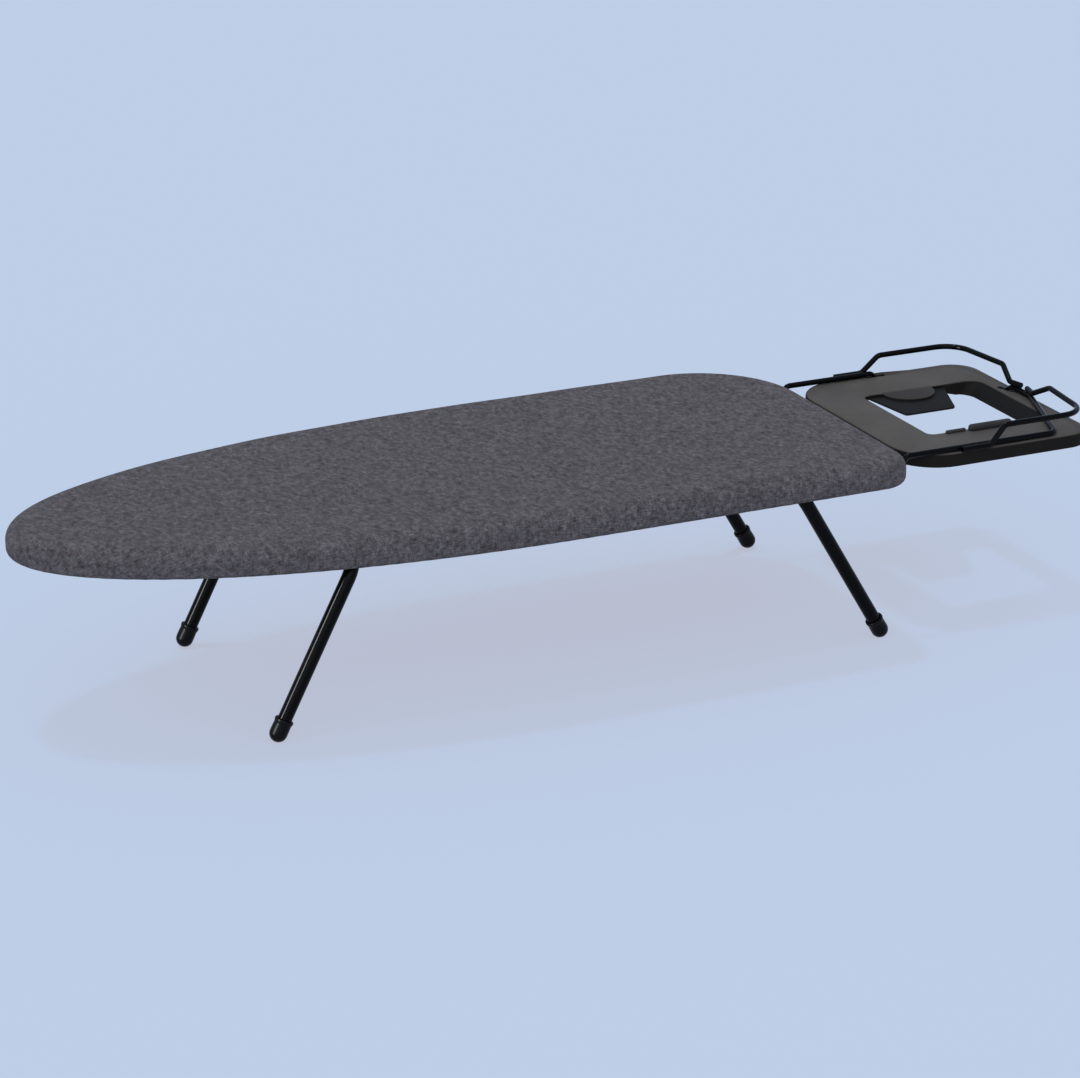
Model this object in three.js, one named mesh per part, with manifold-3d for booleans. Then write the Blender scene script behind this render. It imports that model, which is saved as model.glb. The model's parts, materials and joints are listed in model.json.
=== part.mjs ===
// Tabletop ironing board: a padded, covered deck on two folding leg frames, with a wire-carried
// iron rest behind it. Millimetres, +Z up. X runs from the nose to the iron rest, near is -Y and
// far is +Y. The origin is on the table, below the middle of the whole length and width.

import * as THREE from "three";
import { mergeVertices } from "three/addons/utils/BufferGeometryUtils.js";
import Module from "manifold-3d";

const wasm = await Module();
wasm.setup();

// Fits
const gap = 0.3; // between pieces that touch
const cutOver = 2; // how far a cutter runs past the faces that it opens

// Board
const boardLength = 1000;
const boardHalfWidth = 204;
const noseLengthShare = 0.61; // of the length, from the tip to where the sides run straight
const noseFullnessShare = 2.15; // exponent of the nose curve: 2 is half an ellipse
const nearCornerRadius = 40; // of the rear corners; the photograph shows them unlike
const farCornerRadius = 130;
const topHeight = 229;

// Cover, felt pad and hem
const coverWall = 1.2;
const coverEdgeRadius = 18;
const coverHemRadius = 8;
const coverDepth = 34;
const hemWidth = 22;
const padThickness = 9;
const elasticRadius = 1.5;
const elasticInset = 20;

// Steel deck: rim and expanded mesh
const sheet = 1.2;
const rimHeight = 20.2;
const rimFlange = 12;
const rimEase = 2.4; // air between the rim and the rounded edge of the cover
const meshPitch = 84; // between the middles of two diamonds of a row
const meshRowPitch = 24;
const diamondHalfLength = 37.5;
const diamondHalfWidth = 19.5;
const meshMargin = 16; // solid edge of the mesh, over the rim's flange

// Cross rails, channels open upwards
const railWidth = 42;
const legRailHeight = 6.7;
const tailRailHeight = 16.7;

// Leg frames
const tubeRadius = 8;
const tubeWall = 1.2;
const legBendRadius = 30;
const legSaddleDepth = 10; // from the rail's underside to the bar's axis
const noseAxisShare = 0.3412; // of the length, from the tip of the nose
const noseLeanDegrees = 27;
const noseFootInset = 55; // from the board's side to the middle of the arm
const rearAxisInset = 133.3; // from the board's end
const rearLeanDegrees = 31;
const rearFootInset = 43;

// Rubber feet
const footRadius = 10;
const footCollarRadius = 10.6;
const footCollarHeight = 4;
const footLength = 17; // from the middle of the round end to the top
const footFloor = 2; // from there to the bottom of the bore
const footFlat = 0.5;

// Saddles that hold a round bar under a rail
const blockHalfLength = 20;
const legSaddleWidth = 24;
const legSaddleInset = 114; // from the board's side
const saddleWall = 1.5;
const rivetRadius = 2;
const rivetHeadRadius = 3.8;
const rivetHeadHeight = 1.8;
const legRivetPlace = 14.5; // from the bar's axis

// Stop tabs welded on the leg's top bar
const stopThickness = 3;
const stopWidth = 22;
const stopInset = 154; // from the board's side
const stopTiltDegrees = 30;

// Iron rest: wires
const wireRadius = 3.4;
const rodInset = 62; // from the board's side
const rodUnderHem = 0.4; // air between the rods and the hem above them
const rodGrip = 105; // how far the rods reach in under the board
const rodBendStart = 4; // behind the board's end
const rodRiseLength = 17;
const rodBendRadius = 8;
const rodBlockHalfLength = 14;
const rodSaddleWidth = 30;
const rodRivetPlace = 9.4;
const tailRailInset = 80;
const carrierCornerInset = 53; // from the tray's end to where the rods turn in
const carrierCornerRadius = 16;
const carrierTipInset = 6;
const carrierTipHalfWidth = 14;
const carrierTipRadius = 18;
const hiddenTurnInset = 30; // from the rod's line, where the run under the top turns
const hiddenCornerInset = 46; // from the tray's end
const dipBendRadius = 6;
const dipLength = 13;
const farDipPlace = 111; // from the tray's front edge
const tipDipPlace = 24; // from the middle of the board
const tipDipWidth = 12;
const guardRise = 21; // height of the raised wires over the rods
const guardWeldStart = 64; // from the tray's front edge
const guardWeldLength = 38;
const guardRiseLength = 21;
const guardInset = 3; // from the tray's side
const guardCornerInset = 16; // from the tray's end
const guardCornerRadius = 32;
const guardTurnInset = 4.5;
const guardTurnPlace = 52; // from the middle of the board
const guardTurnRadius = 8;
const guardFootInset = 10.5;
const guardFootPlace = 25;
const guardEndPlace = 6;
const guardBendRadius = 10;

// Iron rest: moulded tray
const trayStart = 26; // behind the board's end
const trayLength = 248;
const trayOverRods = 6.5; // from a rod's middle to the tray's side
const trayFrontRadius = 58; // of its front corners
const trayCornerRadius = 35;
const trayRise = 10; // of its top over the hem
const trayDepth = 16;
const trayWall = 2.5;
const trayEdgeRadius = 3;
const openingStart = 63; // from the tray's front edge
const openingEndInset = 37; // from the tray's end to the foot of the opening's sloped end
const openingSlope = 15; // how far the end leans back up to the top
const openingBand = 70; // from the tray's side
const openingRadius = 9;
const shallowLip = 6;
const slotWidth = 7.8;
const slotLength = 26;
const tabDrop = 3.3;
const tabThickness = 2.6;
const tabReach = 72; // from the far side of the opening
const tabFarStart = 72; // from the tray's front edge, as the next three
const tabFarEnd = 178;
const tabNearStart = 82;
const tabNearEnd = 150;
const bossRadius = 34;
const bossPlace = 125;
const ribWall = 1.6;
const ribDepth = 9;
const ribPitch = 44;
const ribCount = 3;
const barClearance = 2; // from the bars to the opening
const longBarStart = 112;
const longBarLength = 58;
const longBarWidth = 9;
const longBarHeight = 7;
const shortBarStart = 82;
const shortBarLength = 27;
const shortBarWidth = 5;
const shortBarHeight = 3.4;
const barEdge = 1.2;

// Steps of the round forms
const noseSteps = 20;
const cornerSteps = 6;
const wideCornerSteps = 10;
const edgeSteps = 3;
const bendSteps = 5;
const wireBendSteps = 4;
const tubeSides = 12;
const boreSides = 8;
const wireSides = 8;
const smallSides = 8;
const saddleSteps = 8;
const footSides = 14;
const footSteps = 4;

// Heights and places that follow
const overallLength = boardLength + trayStart + trayLength;
const noseLength = boardLength * noseLengthShare;
const coverBottom = topHeight - coverDepth;
const padTop = topHeight - coverWall - gap;
const padBottom = padTop - padThickness;
const meshTop = padBottom - gap;
const meshBottom = meshTop - sheet;
const flangeTop = meshBottom - gap;
const rimInset = coverWall + 2 * gap + rimEase;
const rimInside = rimInset + sheet;
const rimBottom = meshTop - rimHeight;
const railTop = flangeTop;
const legRailBottom = railTop - legRailHeight;
const tailRailBottom = railTop - tailRailHeight;
const hemInside = coverBottom + coverWall;
const legAxisHeight = legRailBottom - legSaddleDepth;
const noseAxis = boardLength * noseAxisShare;
const rearAxis = boardLength - rearAxisInset;
const noseFootSpread = boardHalfWidth - noseFootInset;
const rearFootSpread = boardHalfWidth - rearFootInset;
const legSaddlePlace = boardHalfWidth - legSaddleInset;
const stopPlace = boardHalfWidth - stopInset;
const rodHeight = coverBottom - rodUnderHem - wireRadius;
const rodSpread = boardHalfWidth - rodInset;
const trayHalfWidth = rodSpread + trayOverRods;
const trayTop = coverBottom + trayRise;
const openingHalfWidth = trayHalfWidth - openingBand;
const guardSpread = trayHalfWidth - guardInset;
const trayFront = boardLength + trayStart;
const trayEnd = trayFront + trayLength;
const openingEnd = trayLength - openingEndInset;
const wireOnTray = trayTop + gap + wireRadius;
const wireUnderTray = trayTop - trayWall - gap - wireRadius;
const tailRailPlace = boardLength - tailRailInset;

// Materials
const paint = (color, roughness, metalness) =>
  new THREE.MeshStandardMaterial({ color, roughness, metalness });
const charcoalFabric = paint("#545359", 0.95, 0);
const greyFelt = paint("#b9b6ae", 1, 0);
const elasticCord = paint("#2c2b2e", 0.9, 0);
const galvanisedSteel = paint("#9a9c9f", 0.45, 0.9);
const blackCoat = paint("#101112", 0.28, 0.1);
const blackNylon = paint("#17181a", 0.55, 0);
const blackRubber = paint("#121212", 0.8, 0);
const trayPlastic = paint("#333130", 0.5, 0);
const greySilicone = paint("#4a4a4d", 0.7, 0);
const zincRivet = paint("#a9abad", 0.4, 0.9);

const board = new THREE.Group();
board.position.x = -overallLength / 2;

function place(name, geometry, material, parent = board) {
  const mesh = new THREE.Mesh(geometry, material);
  mesh.name = name;
  parent.add(mesh);
  return mesh;
}

// Closed meshes and solids

function positionsOnly(geometry) {
  const bare = new THREE.BufferGeometry();
  bare.setAttribute("position", geometry.getAttribute("position"));
  if (geometry.index) bare.setIndex(geometry.index);
  return mergeVertices(bare);
}

function signedVolume(geometry) {
  const position = geometry.getAttribute("position");
  const index = geometry.index;
  const corner = [new THREE.Vector3(), new THREE.Vector3(), new THREE.Vector3()];
  let volume = 0;
  for (let i = 0; i < index.count; i += 3) {
    for (let k = 0; k < 3; k++) corner[k].fromBufferAttribute(position, index.getX(i + k));
    volume += corner[0].dot(corner[1].cross(corner[2])) / 6;
  }
  return volume;
}

// The same surface with its faces pointing out.
function outward(geometry) {
  const clean = positionsOnly(geometry);
  if (signedVolume(clean) > 0) return clean;
  const turned = [];
  for (let i = 0; i < clean.index.count; i += 3) {
    turned.push(clean.index.getX(i), clean.index.getX(i + 2), clean.index.getX(i + 1));
  }
  clean.setIndex(turned);
  return clean;
}

function solid(geometry) {
  const clean = outward(geometry);
  const vertProperties = new Float32Array(clean.getAttribute("position").array);
  const triVerts = new Uint32Array(clean.index.array);
  return new wasm.Manifold(new wasm.Mesh({ numProp: 3, vertProperties, triVerts }));
}

function geometryOf(manifold) {
  const { vertProperties, triVerts } = manifold.getMesh();
  const geometry = new THREE.BufferGeometry();
  geometry.setAttribute("position", new THREE.BufferAttribute(vertProperties, 3));
  geometry.setIndex(new THREE.BufferAttribute(triVerts, 1));
  return geometry;
}

// A skin over rings of equally many points. A closed skin joins its last ring to its first;
// an open one has a flat lid at each end.
function skin(rings, closed) {
  const count = rings[0].length;
  const vertices = rings.flat().flatMap((point) => [point.x, point.y, point.z]);
  const index = [];
  const bands = closed ? rings.length : rings.length - 1;
  for (let band = 0; band < bands; band++) {
    const low = band * count;
    const high = ((band + 1) % rings.length) * count;
    for (let i = 0; i < count; i++) {
      const next = (i + 1) % count;
      index.push(low + i, low + next, high + next, low + i, high + next, high + i);
    }
  }
  if (!closed) {
    const last = (rings.length - 1) * count;
    for (const [a, b, c] of THREE.ShapeUtils.triangulateShape(rings[0], [])) {
      index.push(a, c, b, last + a, last + b, last + c);
    }
  }
  const geometry = new THREE.BufferGeometry();
  geometry.setAttribute("position", new THREE.Float32BufferAttribute(vertices, 3));
  geometry.setIndex(index);
  return outward(geometry);
}

function prism(points, bottom, top, holes = []) {
  const shape = new THREE.Shape(points);
  shape.holes = holes.map((hole) => new THREE.Path(hole));
  const geometry = new THREE.ExtrudeGeometry(shape, { depth: top - bottom, bevelEnabled: false });
  geometry.translate(0, 0, bottom);
  return outward(geometry);
}

// A profile in X and Z that runs along Y over a width, centred.
function profileAlongY(points, width) {
  const geometry = new THREE.ExtrudeGeometry(new THREE.Shape(points), {
    depth: width,
    bevelEnabled: false,
  });
  geometry.translate(0, 0, -width / 2);
  geometry.rotateX(Math.PI / 2);
  return outward(geometry);
}

// A profile of radius and height, turned about the Z axis.
function turned(points, sides) {
  const geometry = new THREE.LatheGeometry(points, sides);
  geometry.rotateX(Math.PI / 2);
  return outward(geometry);
}

function pin(radius, bottom, top, sides = smallSides) {
  const geometry = new THREE.CylinderGeometry(radius, radius, top - bottom, sides);
  geometry.rotateX(Math.PI / 2);
  geometry.translate(0, 0, (top + bottom) / 2);
  return geometry;
}

function slab(from, to) {
  const geometry = new THREE.BoxGeometry(to.x - from.x, to.y - from.y, to.z - from.z);
  geometry.translate((from.x + to.x) / 2, (from.y + to.y) / 2, (from.z + to.z) / 2);
  return geometry;
}

function arc(centreX, centreY, radius, from, to, steps) {
  const points = [];
  for (let i = 0; i <= steps; i++) {
    const angle = from + ((to - from) * i) / steps;
    const x = centreX + radius * Math.cos(angle);
    points.push(new THREE.Vector2(x, centreY + radius * Math.sin(angle)));
  }
  return points;
}

function roundedRectangle(x0, x1, halfWidth, radius, frontRadius = radius) {
  const quarter = Math.PI / 2;
  const corners = [
    [x1 - radius, halfWidth - radius, radius],
    [x0 + frontRadius, halfWidth - frontRadius, frontRadius],
    [x0 + frontRadius, frontRadius - halfWidth, frontRadius],
    [x1 - radius, radius - halfWidth, radius],
  ];
  return corners.flatMap(([x, y, r], i) =>
    arc(x, y, r, i * quarter, (i + 1) * quarter, cornerSteps),
  );
}

// A path with round bends: straight runs between the corners, and an arc at each.
class BentPath extends THREE.Curve {
  constructor(corners, steps) {
    super();
    this.places = [];
    this.directions = [];
    const last = corners.length - 1;
    corners.forEach((corner, i) => {
      if (i === 0 || i === last) {
        const [from, to] = i === 0 ? [corner, corners[1]] : [corners[last - 1], corner];
        this.mark(corner.at, to.at.clone().sub(from.at).normalize());
        return;
      }
      const into = corner.at.clone().sub(corners[i - 1].at).normalize();
      const out = corners[i + 1].at.clone().sub(corner.at).normalize();
      const turn = into.angleTo(out);
      const side = out.clone().sub(into.clone().multiplyScalar(Math.cos(turn))).normalize();
      const reach = corner.radius * Math.tan(turn / 2);
      const start = corner.at.clone().addScaledVector(into, -reach);
      for (let k = 0; k <= steps; k++) {
        const angle = (turn * k) / steps;
        const place = start.clone().addScaledVector(into, corner.radius * Math.sin(angle));
        place.addScaledVector(side, corner.radius * (1 - Math.cos(angle)));
        const direction = into.clone().multiplyScalar(Math.cos(angle));
        this.mark(place, direction.addScaledVector(side, Math.sin(angle)));
      }
    });
    this.steps = this.places.length - 1;
  }

  mark(place, direction) {
    this.places.push(place);
    this.directions.push(direction);
  }

  getPointAt(u) {
    return this.places[Math.round(u * this.steps)].clone();
  }

  getTangentAt(u) {
    return this.directions[Math.round(u * this.steps)].clone();
  }
}

function circle(radius, sides) {
  return arc(0, 0, radius, 0, 2 * Math.PI, sides).slice(0, sides);
}

function bar(corners, steps, radius, sides, boreRadius = 0) {
  const section = new THREE.Shape(circle(radius, sides));
  if (boreRadius > 0) section.holes = [new THREE.Path(circle(boreRadius, boreSides))];
  const path = new BentPath(corners, steps);
  const settings = { steps: path.steps, bevelEnabled: false, extrudePath: path };
  return outward(new THREE.ExtrudeGeometry(section, settings));
}

const bend = (x, y, z, radius) => ({ at: new THREE.Vector3(x, y, z), radius });

// One side of the board's outline, drawn in by an inset: half the nose curve, the straight side
// and a rounded rear corner. Each point moves along its own normal, so every inset has as many.
function boardSide(inset, cornerRadius, steps) {
  const exponent = 2 / noseFullnessShare;
  const side = [];
  for (let i = 0; i <= noseSteps; i++) {
    const angle = ((Math.PI / 2) * i) / noseSteps;
    const fall = Math.max(Math.cos(angle), Number.EPSILON);
    const x = noseLength * (1 - fall ** exponent);
    const y = boardHalfWidth * Math.sin(angle);
    const alongX = noseLength * exponent * fall ** (exponent - 1) * Math.sin(angle);
    const normal = new THREE.Vector2(-boardHalfWidth * fall, alongX).normalize();
    side.push(new THREE.Vector2(x - normal.x * inset, y - normal.y * inset));
  }
  const x = boardLength - cornerRadius;
  const y = boardHalfWidth - cornerRadius;
  side.push(...arc(x, y, cornerRadius - inset, Math.PI / 2, 0, steps));
  return side;
}

function boardOutline(inset) {
  const far = boardSide(inset, farCornerRadius, wideCornerSteps);
  const near = boardSide(inset, nearCornerRadius, cornerSteps).slice(1).reverse();
  const mirrored = near.map((point) => new THREE.Vector2(point.x, -point.y));
  return [...far, ...mirrored].reverse();
}

function boardRing(inset, height) {
  return boardOutline(inset).map((point) => new THREE.Vector3(point.x, point.y, height));
}

const boardPrism = (inset, bottom, top) => prism(boardOutline(inset), bottom, top);

// Rings of a rounded edge: the centre lies at an inset and a height.
function edgeRings(inset, height, radius, from, to) {
  return arc(inset, height, radius, from, to, edgeSteps).map((point) =>
    boardRing(point.x, point.y),
  );
}

// Fabric cover: a thin shell over the pad's top and edge, turned in under the rim at its hem.
function makeCover() {
  const edgeCentre = topHeight - coverEdgeRadius;
  const hemCentre = coverBottom + coverHemRadius;
  const half = Math.PI / 2;
  const around = (offset) => [
    ...edgeRings(coverEdgeRadius, edgeCentre, coverEdgeRadius - offset, half, 2 * half),
    ...edgeRings(coverHemRadius, hemCentre, coverHemRadius - offset, 2 * half, 3 * half),
    boardRing(hemWidth, coverBottom + offset),
  ];
  return skin([...around(0), ...around(coverWall).reverse()], false);
}

// Felt pad: flat below, with an upright side and a rounded upper edge that fills the cover.
function makePad() {
  const radius = coverEdgeRadius - coverWall - gap;
  const centre = topHeight - coverEdgeRadius;
  const half = Math.PI / 2;
  const side = coverEdgeRadius - radius * Math.cos(half / edgeSteps);
  const edge = edgeRings(coverEdgeRadius, centre, radius, 2 * half, half).slice(1);
  return skin([boardRing(side, padBottom), ...edge], false);
}

// Elastic cord that gathers the hem, all round the board.
function makeElastic() {
  const height = hemInside + gap + elasticRadius;
  const section = circle(elasticRadius, smallSides - 2);
  return skin(section.map((p) => boardRing(elasticInset + p.x, height + p.y)), true);
}

// Rim: an upright band round the deck with a flange inside, and a lip that the mesh lies in.
function makeRim() {
  const flangeEnd = rimInside + rimFlange;
  const section = [
    [rimInset, rimBottom],
    [rimInset, meshTop],
    [rimInside, meshTop],
    [rimInside, flangeTop],
    [flangeEnd, flangeTop],
    [flangeEnd, flangeTop - sheet],
    [rimInside, flangeTop - sheet],
    [rimInside, rimBottom],
  ];
  return skin(section.map(([inset, height]) => boardRing(inset, height)), true);
}

function inside(outline, point) {
  let within = false;
  outline.forEach((a, i) => {
    const b = outline[(i + 1) % outline.length];
    const crosses = a.y > point.y !== b.y > point.y;
    if (crosses && point.x < ((b.x - a.x) * (point.y - a.y)) / (b.y - a.y) + a.x) within = !within;
  });
  return within;
}

// Expanded mesh: staggered rows of diamonds, as far as whole ones fit inside the margin.
function makeMesh() {
  const edge = boardOutline(rimInside + gap + meshMargin);
  const rows = Math.ceil(boardHalfWidth / meshRowPitch);
  const columns = Math.ceil(boardLength / meshPitch);
  const diamonds = [];
  for (let row = -rows; row <= rows; row++) {
    for (let column = 0; column <= columns; column++) {
      const x = (column + (row % 2 ? 0.5 : 0)) * meshPitch;
      const y = row * meshRowPitch;
      const diamond = [
        new THREE.Vector2(x - diamondHalfLength, y),
        new THREE.Vector2(x, y - diamondHalfWidth),
        new THREE.Vector2(x + diamondHalfLength, y),
        new THREE.Vector2(x, y + diamondHalfWidth),
      ];
      if (diamond.every((point) => inside(edge, point))) diamonds.push(diamond);
    }
  }
  return prism(boardOutline(rimInside + gap), meshBottom, meshTop, diamonds);
}

place("cover", makeCover(), charcoalFabric);
place("felt_pad", makePad(), greyFelt);
place("hem_elastic", makeElastic(), elasticCord);
place("deck_mesh", makeMesh(), galvanisedSteel);
place("deck_rim", makeRim(), blackCoat);

// Cross rails: channels trimmed to the rim, notched under its flange and bored for the rivets.
// Each hole is a point from the rail's middle.
function makeRail(middle, railBottom, holes) {
  const half = railWidth / 2;
  const profile = [
    [-half, railBottom],
    [half, railBottom],
    [half, railTop],
    [half - sheet, railTop],
    [half - sheet, railBottom + sheet],
    [sheet - half, railBottom + sheet],
    [sheet - half, railTop],
    [-half, railTop],
  ].map(([x, z]) => new THREE.Vector2(x, z));
  const channel = profileAlongY(profile, 2 * boardHalfWidth);
  channel.translate(middle, 0, 0);
  const trimmed = boardPrism(rimInside + gap, railBottom - cutOver, railTop + cutOver);
  const core = boardOutline(rimInside + rimFlange + gap);
  const outside = boardOutline(-cutOver);
  const notch = prism(outside, flangeTop - sheet - gap, railTop + cutOver, [core]);
  let rail = solid(channel).intersect(solid(trimmed)).subtract(solid(notch));
  for (const hole of holes) {
    const cutter = pin(rivetRadius + gap, railBottom - cutOver, railBottom + sheet + cutOver);
    cutter.translate(middle + hole.x, hole.y, 0);
    rail = rail.subtract(solid(cutter));
  }
  return geometryOf(rail);
}

// A saddle holds a round bar that lies along Y at height zero: a nylon half bearing between the
// bar and the rail, a steel strap under it, and a rivet on each side.
function makeBlock(radius, top, halfLength, width, rivetPlace) {
  const groove = radius + gap;
  const profile = [
    new THREE.Vector2(-halfLength, 0),
    ...arc(0, 0, groove, Math.PI, 0, saddleSteps),
    new THREE.Vector2(halfLength, 0),
    new THREE.Vector2(halfLength, top),
    new THREE.Vector2(-halfLength, top),
  ];
  let block = solid(profileAlongY(profile, width));
  for (const side of [-1, 1]) {
    const cutter = pin(rivetRadius + gap, -cutOver, top + cutOver);
    cutter.translate(side * rivetPlace, 0, 0);
    block = block.subtract(solid(cutter));
  }
  return geometryOf(block);
}

function makeStrap(radius, halfLength, width, rivetPlace) {
  const inner = radius + gap;
  const outer = inner + saddleWall;
  const lower = gap + saddleWall;
  const innerRise = Math.asin(gap / inner);
  const outerRise = Math.asin(lower / outer);
  const profile = [
    new THREE.Vector2(-halfLength, gap),
    ...arc(0, 0, inner, Math.PI - innerRise, innerRise, saddleSteps),
    new THREE.Vector2(halfLength, gap),
    new THREE.Vector2(halfLength, lower),
    ...arc(0, 0, outer, outerRise, Math.PI - outerRise, saddleSteps),
    new THREE.Vector2(-halfLength, lower),
  ];
  const hanging = profile.map((point) => new THREE.Vector2(point.x, -point.y));
  let strap = solid(profileAlongY(hanging, width));
  for (const side of [-1, 1]) {
    const cutter = pin(rivetRadius + gap, -lower - cutOver, cutOver);
    cutter.translate(side * rivetPlace, 0, 0);
    strap = strap.subtract(solid(cutter));
  }
  return geometryOf(strap);
}

function makeRivet(bottom, top) {
  const head = rivetHeadHeight;
  const wide = rivetHeadRadius;
  const crown = wide / 2;
  const profile = [
    new THREE.Vector2(0, bottom - head),
    new THREE.Vector2(crown, bottom - head),
    new THREE.Vector2(wide, bottom - head / 3),
    new THREE.Vector2(wide, bottom),
    new THREE.Vector2(rivetRadius, bottom),
    new THREE.Vector2(rivetRadius, top),
    new THREE.Vector2(wide, top),
    new THREE.Vector2(wide, top + head / 3),
    new THREE.Vector2(crown, top + head),
    new THREE.Vector2(0, top + head),
  ];
  return turned(profile, smallSides);
}

function addSaddle(names, middle, height, railBottom, turn, size) {
  const saddle = new THREE.Group();
  saddle.position.set(middle.x, middle.y, height);
  saddle.rotation.z = turn;
  board.add(saddle);
  const top = railBottom - gap - height;
  const { radius, halfLength, width, rivetPlace } = size;
  const block = makeBlock(radius, top, halfLength, width, rivetPlace);
  place(names.block, block, blackNylon, saddle);
  place(names.strap, makeStrap(radius, halfLength, width, rivetPlace), galvanisedSteel, saddle);
  const low = -gap - saddleWall - gap;
  const high = railBottom + sheet + gap - height;
  for (const [end, side] of [["front", -1], ["back", 1]]) {
    const rivet = place(`${names.rivet}_${end}`, makeRivet(low, high), zincRivet, saddle);
    rivet.position.x = side * rivetPlace;
  }
}

// Leg frames: one bent tube with two arms and the top bar that it turns on, rubber feet, and
// two stop tabs on the bar that meet the rail when the leg stands open.
const legSaddle = {
  radius: tubeRadius,
  halfLength: blockHalfLength,
  width: legSaddleWidth,
  rivetPlace: legRivetPlace,
};

function makeFoot(lean) {
  const profile = [
    ...arc(0, 0, footRadius, -Math.PI / 2, 0, footSteps),
    new THREE.Vector2(footRadius, footLength - footCollarHeight),
    new THREE.Vector2(footCollarRadius, footLength - footCollarHeight + gap),
    new THREE.Vector2(footCollarRadius, footLength),
    new THREE.Vector2(tubeRadius + gap, footLength),
    new THREE.Vector2(tubeRadius + gap, footFloor),
    new THREE.Vector2(0, footFloor),
  ];
  profile[0].x = 0;
  const table = slab(
    new THREE.Vector3(-footLength, -footLength, -footLength),
    new THREE.Vector3(footLength, footLength, footFlat - footRadius),
  );
  table.rotateY(-lean);
  return geometryOf(solid(turned(profile, footSides)).subtract(solid(table)));
}

function makeLegTube(spread, armLength) {
  const corners = [
    bend(0, -spread, -armLength, 0),
    bend(0, -spread, 0, legBendRadius),
    bend(0, spread, 0, legBendRadius),
    bend(0, spread, -armLength, 0),
  ];
  return bar(corners, bendSteps, tubeRadius, tubeSides, tubeRadius - tubeWall);
}

function makeStop(outwardSide) {
  const tilt = THREE.MathUtils.degToRad(stopTiltDegrees);
  const half = stopThickness / 2;
  const start = tubeRadius + gap;
  const room = legRailBottom - gap - legAxisHeight;
  const reach = (room - half * Math.cos(tilt)) / Math.sin(tilt);
  const stop = slab(
    new THREE.Vector3(start, -stopWidth / 2, -half),
    new THREE.Vector3(reach, stopWidth / 2, half),
  );
  stop.rotateY(-tilt);
  if (outwardSide < 0) stop.rotateZ(Math.PI);
  return stop;
}

function addLeg(end, axis, leanDegrees, spread, outwardSide) {
  const lean = THREE.MathUtils.degToRad(leanDegrees) * -outwardSide;
  const leg = new THREE.Group();
  leg.position.set(axis, 0, legAxisHeight);
  leg.rotation.y = lean;
  board.add(leg);
  const footDistance = (legAxisHeight - footRadius + footFlat) / Math.cos(lean);
  const armLength = footDistance - footFloor - gap;
  place(`${end}_leg_tube`, makeLegTube(spread, armLength), blackCoat, leg);
  for (const [side, sign] of [["near", -1], ["far", 1]]) {
    const foot = place(`${end}_foot_${side}`, makeFoot(lean), blackRubber, leg);
    foot.position.set(0, sign * spread, -footDistance);
    const stop = place(`${end}_stop_${side}`, makeStop(outwardSide), blackCoat);
    stop.position.set(axis, sign * stopPlace, legAxisHeight);
    const names = {
      block: `${end}_pivot_block_${side}`,
      strap: `${end}_pivot_strap_${side}`,
      rivet: `${end}_pivot_rivet_${side}`,
    };
    const middle = new THREE.Vector2(axis, sign * legSaddlePlace);
    addSaddle(names, middle, legAxisHeight, legRailBottom, 0, legSaddle);
  }
  const holes = [-1, 1].flatMap((x) =>
    [-1, 1].map((y) => new THREE.Vector2(x * legRivetPlace, y * legSaddlePlace)),
  );
  place(`${end}_rail`, makeRail(axis, legRailBottom, holes), blackCoat);
}

addLeg("nose", noseAxis, noseLeanDegrees, noseFootSpread, -1);
addLeg("rear", rearAxis, rearLeanDegrees, rearFootSpread, 1);

// Iron rest: the tail rail, and the saddles that clamp its two rods.
const rodSaddle = {
  radius: wireRadius,
  halfLength: rodBlockHalfLength,
  width: rodSaddleWidth,
  rivetPlace: rodRivetPlace,
};
for (const [side, sign] of [["near", -1], ["far", 1]]) {
  const names = {
    block: `rod_block_${side}`,
    strap: `rod_strap_${side}`,
    rivet: `rod_rivet_${side}`,
  };
  const middle = new THREE.Vector2(tailRailPlace, sign * rodSpread);
  addSaddle(names, middle, rodHeight, tailRailBottom, Math.PI / 2, rodSaddle);
}
const rodHoles = [-1, 1].flatMap((side) =>
  [-1, 1].map((end) => new THREE.Vector2(0, side * rodSpread + end * rodRivetPlace)),
);
place("tail_rail", makeRail(tailRailPlace, tailRailBottom, rodHoles), blackCoat);

// Where the carrier's slanted run lies at a distance from the middle of the board.
const tipX = trayEnd - carrierTipInset;
const cornerX = trayEnd - carrierCornerInset;
function slantX(y) {
  const share = (y - carrierTipHalfWidth) / (rodSpread - carrierTipHalfWidth);
  return tipX + (cornerX - tipX) * share;
}

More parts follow.
